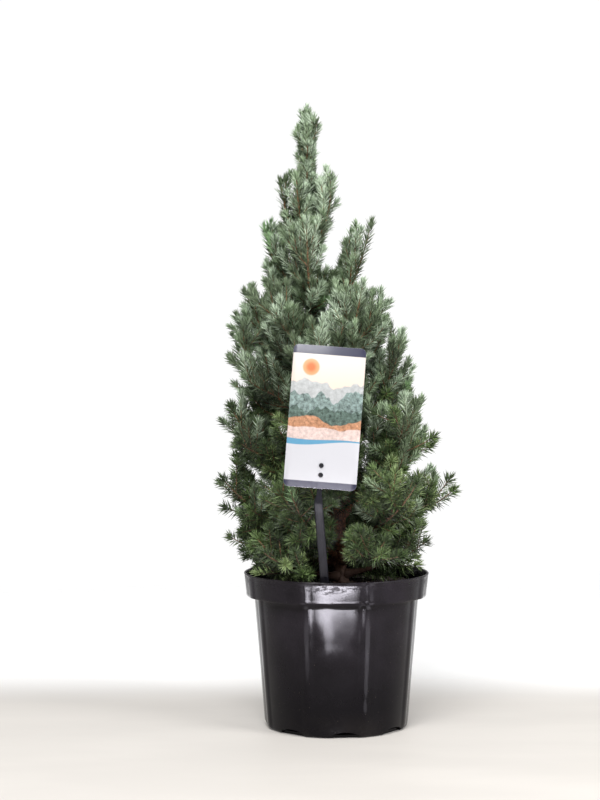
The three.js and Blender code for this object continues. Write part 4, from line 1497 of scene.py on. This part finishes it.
def cardMaterial():
    # dark bands, a soft made-up hill view, a pale blue stroke and an empty white field
    material, tree, surface = newMaterial("cardPrint", {"IOR": 1.5, "Coat Weight": 0.4,
                                                        "Coat Roughness": 0.12})
    uv = addNode(tree, "ShaderNodeUVMap", uv_map="print").outputs[0]
    u, v = axisOf(tree, uv, "X"), axisOf(tree, uv, "Y")
    high, edge = card["height"], label["edge"]
    mottle = effect(tree, "mottle", size=3.2, grain=1.5, contrast=2.6)
    picture = mixColour(tree, ranged(tree, v, 0.62, 0.93), (0.80, 0.58, 0.47), (0.64, 0.59, 0.55))
    across = minus(tree, u, label["sun"][0])
    upward = times(tree, minus(tree, v, label["sun"][1]), high / card["width"])
    sunGap = maths(tree, "SQRT", plus(tree, times(tree, across, across), times(tree, upward, upward)))
    sun = mixColour(tree, ranged(tree, sunGap, 0.03, 0.1), (0.62, 0.14, 0.03), (0.60, 0.30, 0.13))
    picture = mixColour(tree, fading(tree, sunGap, 0.1, 0.13), picture, sun)
    for level, swing, scale, shift, mottled, colour in hills:
        patch = mixColour(tree, mottle["Tone"], [c * (1 - mottled) for c in colour],
                          [c * (1 + mottled) for c in colour])
        wave = cloud(tree, vectorOf(tree, times(tree, u, scale), shift, 0.0), 1.0, 3.0)
        top = timesPlus(tree, minus(tree, wave, 0.5), swing, level)
        picture = mixColour(tree, ranged(tree, minus(tree, top, v), -0.004, 0.004), picture, patch)
    # the white field's upper edge swings, and the stroke follows it
    swing = maths(tree, "SINE", timesPlus(tree, u, 4.6, 0.7))
    above = minus(tree, v, timesPlus(tree, swing, -0.012, label["picture"] / high))
    printed = mixColour(tree, fading(tree, above, -edge, edge), picture, label["white"])
    beside = minus(tree, maths(tree, "ABSOLUTE", above), ranged(tree, u, 0.0, 1.0, 0.021, 0.005))
    printed = mixColour(tree, fading(tree, beside, -0.002, 0.002), printed, label["blue"])
    topEdge, lowEdge = 1 - label["band"] / high, label["bottomBand"] / high
    bands = maths(tree, "MAXIMUM", ranged(tree, v, topEdge - edge, topEdge + edge),
                  fading(tree, v, lowEdge - edge, lowEdge + edge))
    printed = mixColour(tree, bands, printed, label["navy"])
    # only the face towards the viewer is printed
    outward = tuple(cardPlace.to_3x3() @ Vector((0, -1, 0)))
    facing = addNode(tree, "ShaderNodeVectorMath", {0: surfaceNormal(tree), 1: outward},
                     operation="DOT_PRODUCT").outputs["Value"]
    colour = mixColour(tree, ranged(tree, facing, 0.75, 0.85), label["white"], printed)
    dust = effect(tree, "dust", amount=0.3, low=0.2, high=0.05, speck=0.9)
    specked = mixColour(tree, dust["Specks"], colour, (0.3, 0.26, 0.2))
    paint(tree, surface, specked, mottle["Tone"], (0.28, 0.4))
    bump(tree, surface, mottle["Height"], 0.08, 0.2)
    return material


def stakeShape():
    # one smooth strip from below the peat, up behind the card
    buried = Vector((stake["x"] + strip["aside"], stake["y"] + stake["slant"],
                     soil["top"] - stake["buried"]))
    knots = [buried, stakeFoot, *(behindCard(above) for above in strip["knots"]),
             behindCard(card["holes"][1] + strip["past"])]
    across = cardPlace.to_3x3() @ Vector((1, 0, 0))
    half, soft, count = stake["thickness"] / 2, strip["soft"], strip["stations"]
    grooveShare, deep, shallow = strip["groove"]
    rings = []
    for i, part in [(i, k / count) for i in range(4) for k in range(count)] + [(3, 1.0)]:
        ahead = (knots[i + 1] - knots[i - 1 if part == 0 and i > 0 else i]).normalized()
        side = (across - ahead * across.dot(ahead)).normalized()
        face = ahead.cross(side)
        share = smoothStep(part, 0, 1) if i else part
        wide = stake["width"] / 2 * mix(strip["widths"][i], strip["widths"][i + 1], share)
        # a shallow groove runs up the middle of the face
        groove = wide * grooveShare
        flat = [(-groove, shallow - half), (0, deep - half), (groove, shallow - half),
                (wide - soft, -half), (wide, soft - half), (wide, half - soft), (wide - soft, half),
                (soft - wide, half), (-wide, half - soft), (-wide, soft - half), (soft - wide, -half)]
        rings.append([knots[i].lerp(knots[i + 1], part) + side * a + face * b for a, b in flat])
    return tube(rings)


def studShape():
    # two low domed heads on the card's face, with their pins behind it
    front = -card["thickness"] / 2 - stud["gap"] - label["curl"] * label["curlLevel"]
    profile = [(stud["pin"], stake["behind"]), (stud["pin"], front)]
    profile += [(stake["headRadius"] * share, front - out) for share, out in stud["dome"]]
    studs = []
    for above in card["holes"]:
        middle = above - card["height"] / 2
        studs.append(tube([[cardPlace @ Vector((radius * math.cos(angle), y,
                                                middle + radius * math.sin(angle)))
                            for angle in around(stud["sides"])] for radius, y in profile]))
    return joined(studs)


def stakeMaterial():
    material, tree, surface = newMaterial("stakePlastic", {"IOR": 1.48, "Specular IOR Level": 0.14})
    mottle = effect(tree, "mottle", size=12.0, grain=0.8, contrast=1.5)
    dust = effect(tree, "dust", amount=0.8, low=0.14, high=0.04, speck=0.8)
    base = mixColour(tree, mottle["Tone"], (0.005, 0.005, 0.008), (0.014, 0.014, 0.019))
    dusty = mixColour(tree, times(tree, dust["Film"], 0.35), base, (0.12, 0.10, 0.08))
    specked = mixColour(tree, dust["Specks"], dusty, (0.25, 0.2, 0.15))
    paint(tree, surface, specked, mottle["Tone"], (0.34, 0.52))
    bump(tree, surface, mottle["Height"], 0.25, 0.3)
    return material


cardPiece = newObject("label_card_sheet", makeCard())
finish(cardPiece, cardMaterial(), label["sharpFrom"])
keepPiece(cardPiece, ["label_card"])

stakePlastic = stakeMaterial()
for name, shape in (("label_stake_strip", stakeShape()), ("label_studs", studShape())):
    piece = newObject(name, meshOf(name, *shape))
    finish(piece, stakePlastic, strip["sharpFrom"])
    keepPiece(piece, ["label_stake"])

# Studio: a pale floor that fades into white, soft lights, and the camera at the photo's angle

studio = {
    "floorRadius": 2600, "floorSides": 96, "floorDrop": 0.4,
    "floor": (90, 345),  # behind the pot it turns from beige to white
    "fade": (350, 1500),  # and further out it fades away
    "beige": (0.565, 0.535, 0.50), "white": (0.95, 0.95, 0.95),
    "floorGlow": (1, 0.99, 0.98, 1), "frontGlow": 0.05, "backGlow": 0.14,
    "ambient": 0.44, "frontShare": 0.25, "background": 1.02,
    # each lamp's place, aim, size and power
    "lamps": {"key": ((-350, -1350, 1700), (0, 0, 330), (1100, 1100), 47),
              "fill": ((1300, -900, 1000), (0, 0, 300), (700, 900), 21)},
    "glowHeight": 6, "glowTilt": 20, "glowAim": 300, "glowColour": (0.93, 0.9, 1.0),
}
# low panels in front that only the pot's polished wall mirrors, with x, y, width, depth and power:
# a wedge and a soft patch beside it between the two front ribs, and a faint upright streak on each
glows = {
    "wedge": ((-15, -505, 320, 56, 4.1), (-90, -452, 240, 56, 1.8), (-62, -404, 130, 56, 0.75),
              (-36, -362, 60, 56, 0.23)),
    "patch": ((90, -450, 150, 56, 0.42),),
    "rightRib": ((216, -313, 150, 150, 0.22), (154, -235, 100, 100, 0.09), (105, -172, 60, 60, 0.03),
                 (70, -128, 32, 32, 0.008)),
    "leftRib": ((-216, -313, 150, 150, 0.14), (-154, -235, 100, 100, 0.04)),
}
view = {"x": -37, "distance": 1768, "height": 365.6, "lens": 77.985, "sensor": 36, "shiftY": -0.04375,
        "clip": (0.05, 20)}


def makeFloor():
    radius = studio["floorRadius"]
    ring = [(radius * math.cos(angle), radius * math.sin(angle), -studio["floorDrop"])
            for angle in around(studio["floorSides"])]
    floor = newObject("floor", meshOf("floor", ring, [range(len(ring))]))
    material, tree, surface = newMaterial("paleFloor", {"Roughness": 0.55,
                                                        "Emission Color": studio["floorGlow"]})
    place = objectPlace(tree)
    patches = ranged(tree, cloud(tree, drawnOut(tree, place, (0.35, 1.0, 1.0)), 9.0, 6.0), 0.35, 0.65)
    beige = mixColour(tree, patches, studio["beige"], [c * 1.07 for c in studio["beige"]])
    behind = ranged(tree, axisOf(tree, place, "Y"), *(y * mm for y in studio["floor"]))
    tree.links.new(mixColour(tree, behind, beige, studio["white"]), surface["Base Color"])
    # painted light: the floor glows faintly, more behind the pot than in front, which lifts its shade
    # there
    tree.links.new(timesPlus(tree, behind, studio["backGlow"], studio["frontGlow"]),
                   surface["Emission Strength"])
    away = addNode(tree, "ShaderNodeVectorMath", {0: place}, operation="LENGTH").outputs["Value"]
    tree.links.new(fading(tree, away, *(r * mm for r in studio["fade"])), surface["Alpha"])
    floor.data.materials.append(material)


def makeWorld():
    # the room is bright behind and above and dimmer in front; seen directly it is plain white
    world = bpy.data.worlds.new("studio")
    scene.world = world
    world.use_nodes = True
    tree = world.node_tree
    tree.nodes.clear()
    way = addNode(tree, "ShaderNodeTexCoord").outputs["Generated"]
    towardsBack = ranged(tree, axisOf(tree, way, "Y"), -0.7, 0.7, studio["frontShare"], 1.15)
    fromAbove = ranged(tree, axisOf(tree, way, "Z"), -0.2, 0.9, 0.0, 0.5)
    strength = times(tree, plus(tree, towardsBack, fromAbove), studio["ambient"])
    seen = addNode(tree, "ShaderNodeLightPath").outputs["Is Camera Ray"]
    chosen = addNode(tree, "ShaderNodeMix", {0: seen, 2: strength, 3: studio["background"]}).outputs[0]
    glow = addNode(tree, "ShaderNodeBackground", {"Color": (1, 1, 1, 1), "Strength": chosen}).outputs[0]
    tree.links.new(glow, tree.nodes.new("ShaderNodeOutputWorld").inputs[0])


def addLight(name, place, aim, size, power, shape="RECTANGLE"):
    lamp = bpy.data.lights.new(name, "AREA")
    lamp.shape = shape
    lamp.size, lamp.size_y = size[0] * mm, size[1] * mm
    lamp.energy = power
    thing = newObject(name, lamp)
    thing.location = Vector(place) * mm
    thing.rotation_euler = (Vector(place) - Vector(aim)).to_track_quat("Z", "Y").to_euler()
    thing.visible_camera = False
    return thing


makeFloor()
makeWorld()
for name, lamp in studio["lamps"].items():
    addLight(name, *lamp)
for name, panels in glows.items():
    for number, (x, y, width, depth, power) in enumerate(panels):
        glow = addLight(f"{name}{number + 1}", (x, y, studio["glowHeight"]),
                        (x, y + studio["glowTilt"], studio["glowAim"]), (width, depth), power, "ELLIPSE")
        glow.visible_diffuse = False  # it shows only as a mirrored shape
        glow.data.color = studio["glowColour"]

lens = bpy.data.cameras.new("camera")
lens.lens = view["lens"]
lens.sensor_width = view["sensor"]
lens.shift_y = view["shiftY"]
lens.clip_start, lens.clip_end = view["clip"]
camera = newObject("camera", lens)
camera.location = (view["x"] * mm, -view["distance"] * mm, view["height"] * mm)
camera.rotation_euler = (math.pi / 2, 0, 0)
scene.camera = camera
scene.view_settings.view_transform = "Standard"
print("studio ready")
